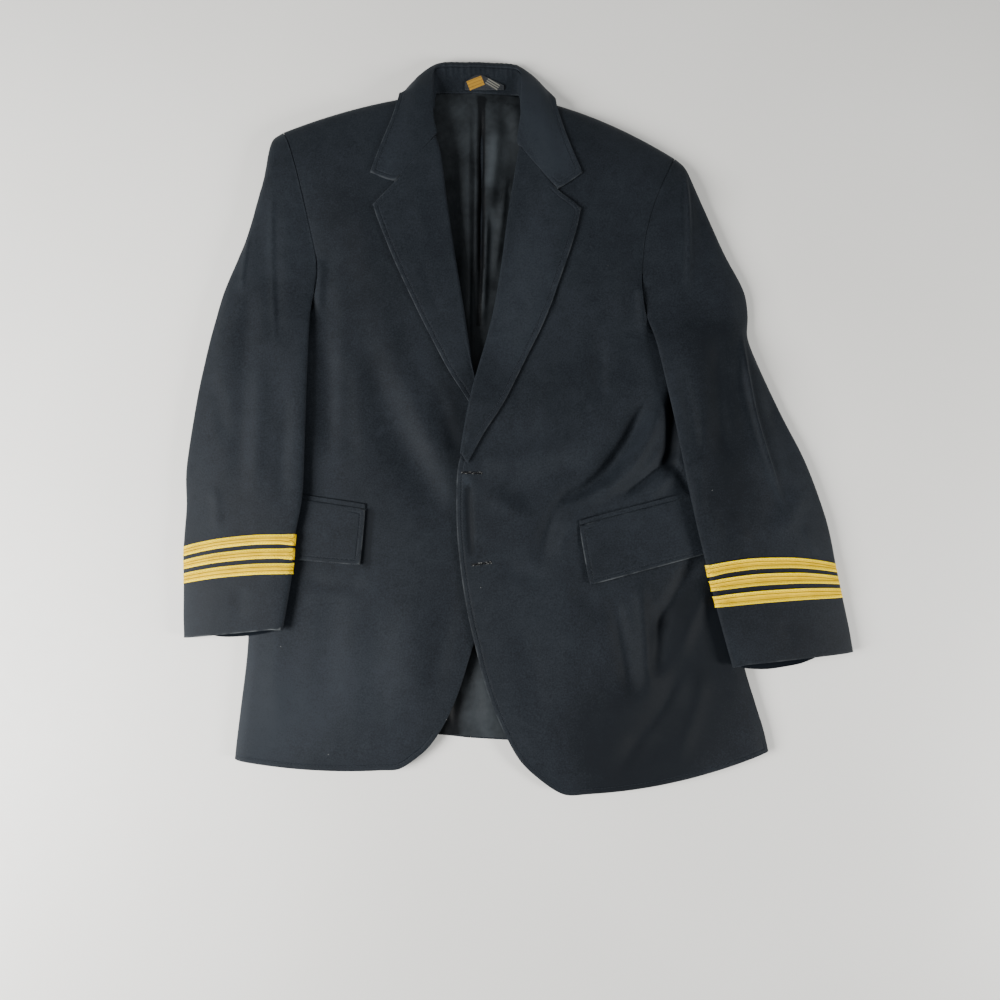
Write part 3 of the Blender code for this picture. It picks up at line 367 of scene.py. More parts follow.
class Value:
    """A socket of a material's nodes, so that shader maths reads as Python."""

    def __init__(self, shading, socket):
        self.shading = shading
        self.socket = socket

    def maths(self, operation, *values):
        return self.shading.node("ShaderNodeMath", {"operation": operation}, dict(enumerate(values)))

    def __add__(self, other):
        return self.maths("ADD", self, other)

    def __radd__(self, other):
        return self.maths("ADD", other, self)

    def __sub__(self, other):
        return self.maths("SUBTRACT", self, other)

    def __rsub__(self, other):
        return self.maths("SUBTRACT", other, self)

    def __mul__(self, other):
        return self.maths("MULTIPLY", self, other)

    def __rmul__(self, other):
        return self.maths("MULTIPLY", other, self)

    def __truediv__(self, other):
        return self.maths("DIVIDE", self, other)

    def __gt__(self, other):
        return self.maths("GREATER_THAN", self, other)

    def __lt__(self, other):
        return self.maths("LESS_THAN", self, other)

    def clipped(self):
        return self.maths("MINIMUM", self.maths("MAXIMUM", self, 0.0), 1.0)

    def sine(self):
        return self.maths("SINE", self)

    def waves(self, pitch):
        return (self * (2 * math.pi / pitch)).sine()

    def absolute(self):
        return self.maths("ABSOLUTE", self)


class Shading:
    """One material. node() makes any node from its type, its settings and the values of its sockets."""

    def __init__(self, name, roughness, **constants):
        self.material = bpy.data.materials.new(name)
        self.material.use_nodes = True
        self.tree = self.material.node_tree
        self.shader = self.tree.nodes["Principled BSDF"]
        self.shader.inputs["Roughness"].default_value = roughness
        for socket, value in constants.items():
            self.shader.inputs[socket.replace("_", " ")].default_value = value

    def node(self, kind, settings, sockets, output=0):
        made = self.tree.nodes.new(kind)
        for setting, value in settings.items():
            setattr(made, setting, value)
        for socket, value in sockets.items():
            if isinstance(value, Value):
                self.tree.links.new(value.socket, made.inputs[socket])
            else:
                made.inputs[socket].default_value = value
        return Value(self, made.outputs[output])

    def place(self):
        return self.node("ShaderNodeTexCoord", {}, {}, "Object")

    def noise(self, place, scale, detail=2.0):
        return self.node("ShaderNodeTexNoise", {}, {"Vector": place, "Scale": scale, "Detail": detail}, 0)

    def value_of(self, attribute):
        return self.node("ShaderNodeAttribute", {"attribute_name": attribute}, {}, 2)

    def mixed(self, mask, low, high):
        return self.node("ShaderNodeMix", {"data_type": "RGBA"}, {0: mask, 6: low, 7: high}, 2)

    def axes(self, place):
        split = self.node("ShaderNodeSeparateXYZ", {}, {0: place})
        return [Value(self, split.socket.node.outputs[k]) for k in range(3)]

    def finish(self, colour, roughness, height, distance):
        bump = self.node("ShaderNodeBump", {}, {"Height": height, "Distance": distance, "Strength": 1.0})
        for socket, value in (("Base Color", colour), ("Roughness", roughness), ("Normal", bump)):
            self.tree.links.new(value.socket, self.shader.inputs[socket])
        return self


TWILL_DARK = (0.0026, 0.0040, 0.0060, 1)
TWILL_LIGHT = (0.0130, 0.0164, 0.0212, 1)
TWILL_WORN = (0.070, 0.076, 0.078, 1)
TWILL_LINT = (0.20, 0.20, 0.19, 1)
TWILL_PITCH = 0.0011
TWILL_WOBBLE = 0.0022
TWILL_BUMP = 0.00009
STITCH_INSET = 5.0
STITCH_GROOVE = 1.4
RUBBED_REACH = 1.3
LINT_SCALE = 55.0
LINT_SIZE = 0.022
LINT_RARITY = 0.80


def twill(name, grain, stitched=True, worn=0.3, shine=0.13):
    """Navy twill. grain is the direction across its ribs, in degrees in plan, and each piece has its own.

    worn is how far its edges are rubbed pale, and shine is how much light it throws back.
    """
    shading = Shading(name, 0.8, Sheen_Weight=0.04, Sheen_Roughness=0.4, Sheen_Tint=(0.75, 0.86, 1.0, 1),
                      Specular_IOR_Level=shine)
    place = shading.place()
    x, y, z = shading.axes(place)
    turn = math.radians(grain)
    wobble = shading.noise(place, 90.0) * TWILL_WOBBLE
    across = x * math.cos(turn) + y * math.sin(turn) + z * 0.7 + wobble
    along = y * math.cos(turn) - x * math.sin(turn) + z * 0.5
    ribs = across.waves(TWILL_PITCH)
    threads = (along * (2 * math.pi / (0.8 * TWILL_PITCH)) + ribs * 1.2).sine()
    broad = shading.noise(place, 9.0, 3.0)
    patches = shading.noise(place, 70.0, 3.0)
    nap = shading.noise(place, 2400.0, 1.0)
    slubs = shading.noise(place, 640.0, 3.0)
    edge = shading.value_of("edge")
    tone_and_painted_light = shading.value_of("tone_and_painted_light")
    sewn = shading.value_of("sewn")
    # Topstitching draws the cloth down along its row, and wear pales the edge itself
    groove = (1 - ((edge - STITCH_INSET) / STITCH_GROOVE).absolute()).clipped()
    drawn = groove * sewn * (1.0 if stitched else 0.0)
    rubbed = (1 - edge / RUBBED_REACH).clipped() * ((patches - 0.40) * 3.2).clipped()
    rubbed = rubbed * (sewn * 0.85 + 0.15) * worn
    # Specks of lint
    cells = shading.node("ShaderNodeTexVoronoi", {}, {"Vector": place, "Scale": LINT_SCALE}, "Distance")
    rare = shading.node("ShaderNodeTexVoronoi", {}, {"Vector": place, "Scale": LINT_SCALE}, "Color")
    lint = (cells < LINT_SIZE) * (shading.axes(rare)[0] > LINT_RARITY)
    # The level also takes the listed paler and darker places, most of them painted shade and painted
    # highlight
    level = (broad * 0.8 + patches * 0.45 + slubs * 1.7 + nap * 0.3 - 1.2 + ribs * 0.06 + tone_and_painted_light).clipped()
    colour = shading.mixed(level, TWILL_DARK, TWILL_LIGHT)
    colour = shading.mixed(rubbed.clipped(), colour, TWILL_WORN)
    colour = shading.mixed(lint, colour, TWILL_LINT)
    roughness = 0.52 + slubs * 0.18 + broad * 0.14 - rubbed * 0.08
    height = ribs * 0.35 + threads * 0.25 + nap * 0.5 + slubs * 0.6 - drawn * 4.0 + patches * 2.0
    return shading.finish(colour, roughness, height, TWILL_BUMP)


FRONT_CUTS = {"right": ((0.36, 0.82), 0.19), "left": ((0.38, 0.86), 0.20)}
front_cloth = {
    side: twill(f"navy_twill_front_{side}", grain)
    for side, grain in (("right", 52.0), ("left", 47.0))
}
FRONT_FOLDS = {"right": RIGHT_FRONT_FOLDS, "left": LEFT_FRONT_FOLDS}
# The fronts' darker and paler places, most of them painted shade and painted highlight
FRONT_TONES_AND_PAINTED_LIGHT = {"right": RIGHT_FRONT_TONES_AND_PAINTED_LIGHT, "left": LEFT_FRONT_TONES_AND_PAINTED_LIGHT}
cloth = {}
for side in ("right", "left"):
    flat, area = FRONT_CUTS[side]
    cloth[f"front_{side}"] = dress(f"front_{side}", TWILL_WALL, FINE, FRONT_FOLDS[side], front_cloth[side],
                                   FRONT_TONES_AND_PAINTED_LIGHT[side], FRONT_STITCHING[side])

# Lapels: the fronts' facings, turned back over them along the roll line and pressed. The outer edge is
# topstitched, and the notch is where the gorge seam meets it.
LAPEL_WALL = 1.8
LAPEL_CUTS = {"right": ((0.135, 0.36), 0.0205), "left": ((0.14, 0.39), 0.0238)}
LAPEL_FOLDS = {
    "right": [Fold(-128, 290, -112, 240, -100, 180, 8, 0.5), Fold(-112, 180, -98, 130, -80, 90, 6, -0.4)],
    "left": [Fold(46, 290, 36, 230, 24, 170, 8, 0.5), Fold(20, 150, 2, 90, -16, 40, 6, -0.4)],
}
LAPEL_STITCHING = {
    "right": [[(-144, 257), (-163, 234), (-155, 205), (-133, 165), (-115, 126), (-93, 82), (-70, 38),
               (-50, 5)]],
    "left": [[(53, 248), (73, 228), (60, 190), (47, 150), (29, 99), (4, 47), (-19, 0), (-40, -35)]],
}
# The pale place on the left lapel is a painted highlight, where it turns up to the light
LAPEL_PAINTED_LIGHT = {"right": [], "left": [Tone(34, 230, -8, 70, 30.0, 0.30)]}
for side, grain in (("right", 38.0), ("left", 62.0)):
    flat, area = LAPEL_CUTS[side]
    cloth[f"lapel_{side}"] = dress(f"lapel_{side}", LAPEL_WALL, FINE, FRONT_FOLDS[side] + LAPEL_FOLDS[side],
                                   twill(f"navy_twill_lapel_{side}", grain),
                                   LAPEL_PAINTED_LIGHT[side], LAPEL_STITCHING[side])

# Collar: a leaf that falls outward from its roll, and a stand inside the back neck. Both are navy twill over
# canvas, and the leaf is topstitched along its outer edge.
COLLAR_WALL = 2.0
RIB_STEPS = (7.5, 8.5, 6.0, 7.0, 9.0, 5.5, 6.5, 5.0, 6.0, 4.5, 6.0, 5.0, 6.5, 5.5, 7.0)
RIB_WIDTH = 1.7
RIB_TOP = 436
RIB_MIDDLE = 426
RIB_FOOT = 404
rib_x = -93.0
collar_ribs = []
for k, step in enumerate(RIB_STEPS):
    rib_x += step
    foot = RIB_FOOT + 5 * (k % 3)
    rise = 0.45 + 0.06 * step
    collar_ribs.append(Fold(rib_x, RIB_TOP, rib_x + 0.4, RIB_MIDDLE, rib_x + 1.2, foot, RIB_WIDTH, rise))
LEAF_STITCHING = [
    [(-143, 264), (-166, 274), (-154, 307), (-142, 342), (-135, 368)],
    [(53, 257), (75, 273), (63, 304), (52, 336), (45, 362)],
]
# The leaf's pale places are painted highlight, most of all on its left half, where it turns up to the light
LEAF_PAINTED_LIGHT = [Tone(20, 384, 48, 290, 34.0, 0.62), Tone(-120, 390, -146, 290, 20.0, 0.15)]
cloth["collar_leaf"] = dress("collar_leaf", COLLAR_WALL, FINE, collar_ribs, twill("navy_twill_leaf", 40.0),
                             LEAF_PAINTED_LIGHT, LEAF_STITCHING)
stand_cloth = twill("navy_twill_stand", 58.0, False)
cloth["collar_stand"] = dress("collar_stand", COLLAR_WALL, FINE, collar_ribs, stand_cloth)

# Neck label: a small woven tape, sewn to the stand. It has a plain gold block and a striped grey one on
# black, and lies folded to a low peak.
LABEL_WALL = 1.0
LABEL_GOLD = (0.33, 0.17, 0.008, 1)
LABEL_BLACK = (0.010, 0.012, 0.015, 1)
LABEL_BROWN = (0.13, 0.055, 0.006, 1)
LABEL_GREY = (0.15, 0.145, 0.12, 1)
GOLD_MIDDLE = (-0.0475, 0.4030)
GOLD_TURN = math.radians(22.0)
GOLD_HALF = (0.0096, 0.0060)
STRIPES_MIDDLE = (-0.0270, 0.4010)
STRIPES_TURN = math.radians(-32.0)
STRIPES_HALF = (0.0085, 0.0042)
WEFT_PITCH = 0.0007
WARP_PITCH = 0.0005
BAND_PITCH = 0.0038
STRIPE_PITCH = 0.0028
LABEL_BUMP = 0.00012


def label_block(x, y, middle, turn, half):
    """A turned rectangle on the label: its mask, and the distance across it."""
    along = (x - middle[0]) * math.cos(turn) + (y - middle[1]) * math.sin(turn)
    across = (y - middle[1]) * math.cos(turn) - (x - middle[0]) * math.sin(turn)
    return (along.absolute() < half[0]) * (across.absolute() < half[1]), across


label_weave = Shading("woven_label", 0.6, Specular_IOR_Level=0.3)
place = label_weave.place()
x, y, _ = label_weave.axes(place)
weft = y.waves(WEFT_PITCH)
warp = x.waves(WARP_PITCH)
gold_mask, across = label_block(x, y, GOLD_MIDDLE, GOLD_TURN, GOLD_HALF)
bands = across.waves(BAND_PITCH)
gold = label_weave.mixed((bands > 0.80) * 0.7, LABEL_GOLD, LABEL_BROWN)
striped_mask, across = label_block(x, y, STRIPES_MIDDLE, STRIPES_TURN, STRIPES_HALF)
stripes = across.waves(STRIPE_PITCH)
colour = label_weave.mixed(striped_mask * (stripes > -0.1), LABEL_BLACK, LABEL_GREY)
colour = label_weave.mixed(gold_mask, colour, gold)
label_weave.finish(colour, 0.55 + weft * 0.05, weft * 0.6 + warp * 0.4, LABEL_BUMP)
cloth["neck_label"] = dress("neck_label", LABEL_WALL, FINE, [], label_weave)

# Pocket flaps and jets. Each flap is two layers of twill, topstitched round its free edges, and hangs from a
# narrow jet along the pocket's mouth. The edges are rubbed pale.
FLAP_WALL = 2.0
JET_WALL = 1.0
FLAP_CUTS = {"right": (0.118, 0.072), "left": (0.15, 0.07)}
FLAP_WEAR = {"right": 0.45, "left": 0.7}
FLAP_STITCHING = {
    "right": [[(-172, -124), (-176, -177), (-225, -172)]],
    "left": [[(75, -143), (86, -198), (150, -182), (211, -165)]],
}
for side, grain in (("right", 52.0), ("left", 47.0)):
    width, length = FLAP_CUTS[side]
    cloth[f"flap_{side}"] = dress(f"flap_{side}", FLAP_WALL, FINE, FRONT_FOLDS[side],
                                  twill(f"navy_twill_flap_{side}", grain, worn=FLAP_WEAR[side]),
                                  sewn=FLAP_STITCHING[side])
    cloth[f"jet_{side}"] = dress(f"jet_{side}", JET_WALL, FINE, FRONT_FOLDS[side],
                                 twill(f"navy_twill_jet_{side}", grain, False, FLAP_WEAR[side]))

# Sleeves. Each is two pieces of navy twill, the topsleeve and the narrower undersleeve, sewn to a tube that
# is set into the armhole and hemmed at the cuff. They lie flattened, with long soft folds down to the braid.
SLEEVE_WALL = 1.2
SLEEVE_FLOOR = 9.0
SLEEVE_FOLDS = {
    "right": [
        Fold(-306, 153, -309, 10, -308, -112, 12, -2.2, 0.8),
        Fold(-283, 184, -276, 120, -270, 63, 11, -2.0),
        Fold(-292, 60, -290, -20, -292, -120, 11, 1.6),
        Fold(-330, 150, -338, 60, -342, -40, 13, 1.4),
        Fold(-350, 40, -336, -2, -322, -52, 10, -1.4),
        Fold(-258, 20, -262, -60, -258, -128, 9, -1.6),
        Fold(-284, 262, -286, 170, -272, 60, 4.5, 1.6, 0.6),
        Fold(-312, 210, -316, 170, -318, 130, 4.5, 1.2, 0.6),
        Fold(-340, -90, -330, -120, -334, -146, 7, 1.2),
        Fold(-300, -204, -304, -226, -300, -250, 9, -0.8),
    ],
    "left": [
        Fold(202, 290, 205, 202, 198, 120, 3.6, 3.6, 0.6),
        Fold(214, 260, 220, 200, 216, 140, 10, -2.4),
        Fold(262, 96, 259, -20, 306, -134, 4.2, 5.0, 0.55),
        Fold(286, 20, 292, -30, 318, -84, 12, -2.2),
        Fold(232, 90, 229, 10, 234, -76, 11, -4.2, 0.8),
        Fold(214, 10, 203, -60, 202, -146, 8, 2.2),
        Fold(250, 60, 250, 0, 262, -60, 9, -1.6),
        Fold(312, -80, 286, -108, 276, -146, 11, -1.4),
        Fold(330, -96, 304, -120, 298, -152, 9, 1.2),
        Fold(238, -120, 246, -142, 256, -160, 6, 1.2),
        Fold(222, -118, 228, -140, 240, -158, 6, -1.2),
        Fold(318, -140, 328, -156, 334, -172, 4, 0.9),
        Fold(246, 160, 252, 100, 250, 60, 12, 1.8),
        Fold(184, 60, 196, -10, 208, -80, 7, -1.8),
        Fold(290, -240, 296, -256, 300, -276, 8, -0.8),
    ],
}
# Painted shade: the undersleeves are darker along the cuff, where their lip lies in shade under the topsleeve
CUFF_PAINTED_SHADE = {
    "right": [Tone(-256, -258, -368, -268, 6.0, -1.2)],
    "left": [Tone(236, -300, 372, -284, 14.0, -3.0)],
}
SLEEVE_WEAR = {"right": 1.1, "left": 0.35}
UNDER_WEAR = 0.3
UNDER_SHINE = 0.02
# Painted light: the right sleeve is paler near its outer edge above the cuff, as a painted highlight, and the
# left sleeve has two broad places of painted shade
SLEEVE_PAINTED_LIGHT = {
    "right": [Tone(-370, -190, -372, -256, 20.0, 0.3)],
    "left": [Tone(226, 70, 240, -120, 34.0, -0.45), Tone(262, -210, 310, -270, 50.0, -0.35)],
}
CUFF_HEMS = {"right": [[(-256, -251), (-368, -262)]], "left": [[(236, -291), (372, -277)]]}
for side, grain in (("right", 44.0), ("left", 56.0)):
    sleeve_cloth = twill(f"navy_twill_sleeve_{side}", grain, False, SLEEVE_WEAR[side])
    under_cloth = twill(f"navy_twill_undersleeve_{side}", grain, False, UNDER_WEAR * SLEEVE_WEAR[side],
                        UNDER_SHINE)
    cloth[f"topsleeve_{side}"] = dress(
        f"topsleeve_{side}", SLEEVE_WALL, FINE, SLEEVE_FOLDS[side], sleeve_cloth,
        SLEEVE_PAINTED_LIGHT[side], CUFF_HEMS[side], SLEEVE_FLOOR)
    cloth[f"undersleeve_{side}"] = dress(
        f"undersleeve_{side}", SLEEVE_WALL, PLAIN, [], under_cloth,
        CUFF_PAINTED_SHADE[side])

# Braid: three rows of flat gold rank braid a sleeve, woven with two dark threads along it. Each row goes all
# round the sleeve and is tacked down along its selvedges.
BRAID_WALL = 1.0
BRAID_GOLD = (0.96, 0.64, 0.0, 1)
BRAID_SHADE = (0.55, 0.33, 0.0, 1)
BRAID_PALE = (0.96, 0.76, 0.0, 1)
BRAID_THREAD = (0.10, 0.055, 0.001, 1)
BRAID_ROWS = 3
BRAID_WIDTH = 10.8
BRAID_RIB_PITCH = 0.0016
BRAID_BUMP = 0.00018
LINE_HALF = 0.55
SELVEDGE = 1.7
TACK_HALF = 0.45
TACK_PITCH = 0.0034


def gold_braid(name):
    """Gold braid with a pale selvedge, the tacks along it, and two dark threads."""
    shading = Shading(name, 0.45, Specular_IOR_Level=0.0, Metallic=0.35)
    place = shading.place()
    x, _, _ = shading.axes(place)
    edge = shading.value_of("edge")
    patches = shading.noise(place, 60.0, 3.0)
    strands = shading.noise(place, 900.0, 2.0)
    ribs = (x + edge * 0.0009).waves(BRAID_RIB_PITCH)
    lines = (1 - ((edge - BRAID_WIDTH / 3) / LINE_HALF).absolute()).clipped()
    selvedge = ((SELVEDGE - edge) / 0.25).clipped()
    tacks = (1 - ((edge - SELVEDGE) / TACK_HALF).absolute()).clipped() * (x.waves(TACK_PITCH) > 0.2)
    glint = (patches * 0.9 + strands * 0.5 - 0.35 + ribs * 0.12).clipped()
    colour = shading.mixed(glint, BRAID_SHADE, BRAID_GOLD)
    colour = shading.mixed(selvedge * (0.25 + strands * 0.5), colour, BRAID_PALE)
    colour = shading.mixed((lines * 0.8 + tacks * 0.55).clipped(), colour, BRAID_THREAD)
    roughness = 0.42 + strands * 0.2
    return shading.finish(colour, roughness, ribs * 0.8 + strands * 0.5 - lines * 2.5, BRAID_BUMP)


for side in ("right", "left"):
    shading = gold_braid(f"gold_braid_{side}")
    for row in range(BRAID_ROWS):
        name = f"braid_{side}_{row + 1}"
        cloth[name] = dress(name, BRAID_WALL, FINE, SLEEVE_FOLDS[side], shading)

# Back and side panels: two halves of navy twill with a centre seam, and a panel under each arm. They lie on
# the floor under the rest.
BACK_CUTS = {
    "back_right": ((0.235, 0.775), 0.1436),
    "back_left": ((0.245, 0.775), 0.1582),
    "side_right": ((0.078, 0.51), 0.0346),
    "side_left": ((0.121, 0.48), 0.0347),
}
back_cloth = twill("navy_twill_back", 50.0, False)
for node, (flat, area) in BACK_CUTS.items():
    cloth[node] = dress(node, TWILL_WALL, PLAIN, [], back_cloth, rounded=False)

# Back lining: black satin, sewn in at the neck with a pleat down its centre, and loose enough to lie in
# folds. It shows in the neck and between the fronts at the hem.
LINING_WALL = 1.0
SATIN_DARK = (0.0028, 0.0034, 0.0042, 1)
SATIN_LIGHT = (0.0560, 0.0650, 0.0720, 1)
LINING_FOLDS = [
    Fold(-55, 392, -56, 200, -53, 20, 14, 5.5, 0.22),
    Fold(-20, 384, -24, 290, -32, 226, 11, 4.5, 0.8),
    Fold(-33, 250, -34, 180, -39, 80, 5.5, 4.0, 0.7),
    Fold(-10, 300, -14, 220, -26, 150, 6, 2.8, 0.7),
    Fold(-4, 388, 2, 356, 8, 316, 8, 2.2),
    Fold(-40, 386, -39.5, 250, -41, 110, 2.0, -4.5),
    Fold(-46, 386, -46, 250, -46, 60, 1.8, 1.3, 0.6),
    Fold(-84, -272, -76, -320, -72, -372, 10, 3.4, 0.5),
    Fold(-34, -286, -30, -325, -22, -366, 14, 2.0),
]
LINING_WINDOWS = (Window(-98, 10, 8, 386, 2), Window(-96, -360, -4, -290, 2))
# Painted shade and painted highlight on the satin: the dark gap beside the pleat's edge, shade under the
# collar at the top and on the left where the lining shows between the fronts at the hem, and pale sheen on
# the ridges, on the bright patch near the neck and on the right at the hem
LINING_PAINTED_LIGHT = [
    Tone(-40, 384, -40, 170, 3.0, -1.2),
    Tone(-40, 170, -43, 100, 2.2, -0.6),
    Tone(-68, 366, -60, 230, 14.0, 0.10),
    Tone(-19, 330, -26, 280, 11.0, 0.42),
    Tone(-28, 240, -36, 120, 5.0, 0.22),
    Tone(-14, 386, 2, 380, 12.0, -0.12),
    Tone(-34, -290, -30, -372, 15.0, 0.20),
    Tone(-74, -286, -78, -372, 13.0, -0.8),
]
SATIN_PITCH = 0.0004
SATIN_BUMP = 0.0002
satin = Shading("black_satin_lining", 0.4, Specular_IOR_Level=0.15)
place = satin.place()
_, y, _ = satin.axes(place)
cloudy = satin.noise(place, 30.0, 3.0)
tone_and_painted_light = satin.value_of("tone_and_painted_light")
fine_threads = y.waves(SATIN_PITCH)
ripples = satin.noise(place, 160.0, 2.0)
# The satin's colour takes its cloudy noise and its painted shade and painted highlight
colour = satin.mixed((cloudy * 0.55 + ripples * 0.2 - 0.16 + tone_and_painted_light).clipped(), SATIN_DARK, SATIN_LIGHT)
height = cloudy * 6.0 + ripples * 1.2 + fine_threads * 0.1
satin.finish(colour, 0.36 + cloudy * 0.16 + ripples * 0.05, height, SATIN_BUMP)
cloth["lining_back"] = dress("lining_back", LINING_WALL, FINE, LINING_FOLDS, satin,
                             LINING_PAINTED_LIGHT, finer=LINING_WINDOWS)

# Topstitching: navy thread, a little shinier than the cloth, along the front edges, lapels, collar and flaps.
# Each stitch is one short rounded thread that lies on the cloth.
STITCH_PITCH = 3.6
STITCH_LENGTH = 2.7
STITCH_RADIUS = 0.26
STITCH_LIFT = 0.08
THREAD_SIDES = 6
THREAD_RINGS = ((-1.0, 0.35), (-0.7, 0.9), (0.0, 1.0), (0.7, 0.9), (1.0, 0.35))
CURVE_STEPS = 20
LONGEST_STEP = 3
AT_RIM = 0.05
ABOVE = 0.2

Thread = namedtuple("Thread", "centre along up length radius")


def thread_mesh(name, threads, shading):
    """One mesh of short rounded threads."""
    points = []
    faces = []
    for thread in threads:
        along = thread.along.normalized()
        side = thread.up.cross(along).normalized()
        up = along.cross(side)
        start = len(points)
        for place, size in THREAD_RINGS:
            middle = thread.centre + along * (0.5 * thread.length * place * MM)
            for k in range(THREAD_SIDES):
                turn = 2 * math.pi * k / THREAD_SIDES
                spoke = side * math.cos(turn) + up * math.sin(turn)
                points.append(middle + spoke * (thread.radius * size * MM))
        rings = len(THREAD_RINGS)
        for i in range(rings - 1):
            for k in range(THREAD_SIDES):
                a = start + i * THREAD_SIDES + k
                b = start + i * THREAD_SIDES + (k + 1) % THREAD_SIDES
                faces.append((a, b, b + THREAD_SIDES, a + THREAD_SIDES))
        faces.append([start + k for k in reversed(range(THREAD_SIDES))])
        faces.append([start + (rings - 1) * THREAD_SIDES + k for k in range(THREAD_SIDES)])
    mesh = bpy.data.meshes.new(name)
    mesh.from_pydata(points, [], faces)
    mesh.shade_smooth()
    mesh.materials.append(shading.material)
    piece = bpy.data.objects.new(name, mesh)
    bpy.context.scene.collection.objects.link(piece)
    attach(piece, "root")
    return piece


class Bed:
    """The upper face of a piece of cloth, and its rim in plan, for what is sewn on it."""

    def __init__(self, node):
        mesh = cloth[node].data
        self.points = points_of(mesh)
        edge = np.empty(len(self.points), dtype=np.float32)
        mesh.attributes["edge"].data.foreach_get("value", edge)
        faces = [list(face.vertices) for face in mesh.polygons]
        self.tree = BVHTree.FromPolygons(self.points.tolist(), faces)
        rim = np.flatnonzero(edge < AT_RIM)
        self.rim = KDTree(len(rim))
        for k in rim:
            self.rim.insert((self.points[k][0], self.points[k][1], 0), int(k))
        self.rim.balance()

    def under(self, x, y):
        """The cloth's place and normal under a point in plan millimetres."""
        hit = self.tree.ray_cast(Vector((x * MM, y * MM, ABOVE)), Vector((0, 0, -1)))
        return hit[0], hit[1]

    def inset(self, x, y, distance):
        """The point moved to this distance from the nearest rim."""
        found = self.rim.find((x * MM, y * MM, 0))[0]
        away = Vector((x - found.x / MM, y - found.y / MM, 0)).normalized()
        return found.x / MM + away.x * distance, found.y / MM + away.y * distance


def even_path(corners, pitch):
    """Points this far apart along a smooth curve through the corners."""
    corners = np.array(corners, dtype=float)
    ends = np.vstack([2 * corners[0] - corners[1], corners, 2 * corners[-1] - corners[-2]])
    curve = []
    for i in range(len(corners) - 1):
        p0, p1, p2, p3 = ends[i:i + 4]
        for t in np.linspace(0, 1, CURVE_STEPS, endpoint=False):
            curve.append(0.5 * (2 * p1 + (p2 - p0) * t + (2 * p0 - 5 * p1 + 4 * p2 - p3) * t * t
                                + (3 * p1 - p0 - 3 * p2 + p3) * t ** 3))
    curve.append(corners[-1])
    curve = np.array(curve)
    steps = np.hypot(*np.diff(curve, axis=0).T)
    run = np.concatenate([[0], np.cumsum(steps)])
    spots = np.arange(0, run[-1], pitch)
    return np.column_stack([np.interp(spots, run, curve[:, k]) for k in range(2)])


def stitches(bed, corners, inset=STITCH_INSET):
    """A row of stitches along the corners, at an even distance inside the rim."""
    path = [bed.inset(x, y, inset) for x, y in even_path(corners, STITCH_PITCH)]
    found = []
    for i in range(1, len(path) - 1):
        spot, normal = bed.under(*path[i])
        if spot is None or math.dist(path[i - 1], path[i + 1]) > LONGEST_STEP * STITCH_PITCH:
            continue
        along = Vector((path[i + 1][0] - path[i - 1][0], path[i + 1][1] - path[i - 1][1], 0))
        along -= normal * along.dot(normal)
        found.append(Thread(spot + normal * (STITCH_LIFT * MM), along, normal, STITCH_LENGTH, STITCH_RADIUS))
    return found


TOPSTITCHED = ("front_left", "front_right", "lapel_right", "lapel_left", "collar_leaf", "flap_right",
               "flap_left")
THREAD_DARK = (0.008, 0.010, 0.014, 1)
THREAD_LIGHT = (0.022, 0.026, 0.032, 1)
THREAD_BUMP = 0.00008
thread_shine = Shading("navy_thread", 0.6, Specular_IOR_Level=0.15)
place = thread_shine.place()
twist = thread_shine.noise(place, 1800.0, 1.0)
colour = thread_shine.mixed(twist, THREAD_DARK, THREAD_LIGHT)
thread_shine.finish(colour, 0.42 + twist * 0.2, twist, THREAD_BUMP)
beds = {node: Bed(node) for node in TOPSTITCHED}
for node in TOPSTITCHED:
    sewn = [thread for row in stitching[node] for thread in stitches(beds[node], row)]
    thread_mesh(f"topstitching_{node}", sewn, thread_shine)

# Seam allowances: the edges turned in behind the gorge and armhole seams. Only what lies between the sewn
# pieces shows, as the bottom of a shallow groove.
SEAM_HALF = 2.6
SEAM_SINK = 0.6
SEAM_PITCH = 4.0
FAR_FROM_RIM = 20.0
SEAMS = {
    "gorge_right": ("collar_leaf", "lapel_right", [(-98, 321), (-139, 263.4)]),
    "gorge_left": ("collar_leaf", "lapel_left", [(8, 308), (48.4, 253.6)]),
    "armhole_right": ("front_right", "topsleeve_right",
                      [(-278, 335), (-272.5, 325), (-261.5, 295), (-252.5, 262), (-240, 210), (-232.8, 172)]),
    "armhole_left": ("front_left", "topsleeve_left",
                     [(190, 300), (185, 289.5), (174, 266), (162.5, 237), (151.5, 195), (148.5, 150)]),
}


def ribbon(name, points, shading):
    """A strip of cloth between two rows of points, given in turns."""
    strip = bpy.data.meshes.new(name)
    quads = [(2 * k, 2 * k + 2, 2 * k + 3, 2 * k + 1) for k in range(len(points) // 2 - 1)]
    strip.from_pydata(points, [], quads)
    strip.materials.append(shading.material)
    piece = bpy.data.objects.new(name, strip)
    bpy.context.scene.collection.objects.link(piece)
    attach(piece, "root")
    return piece


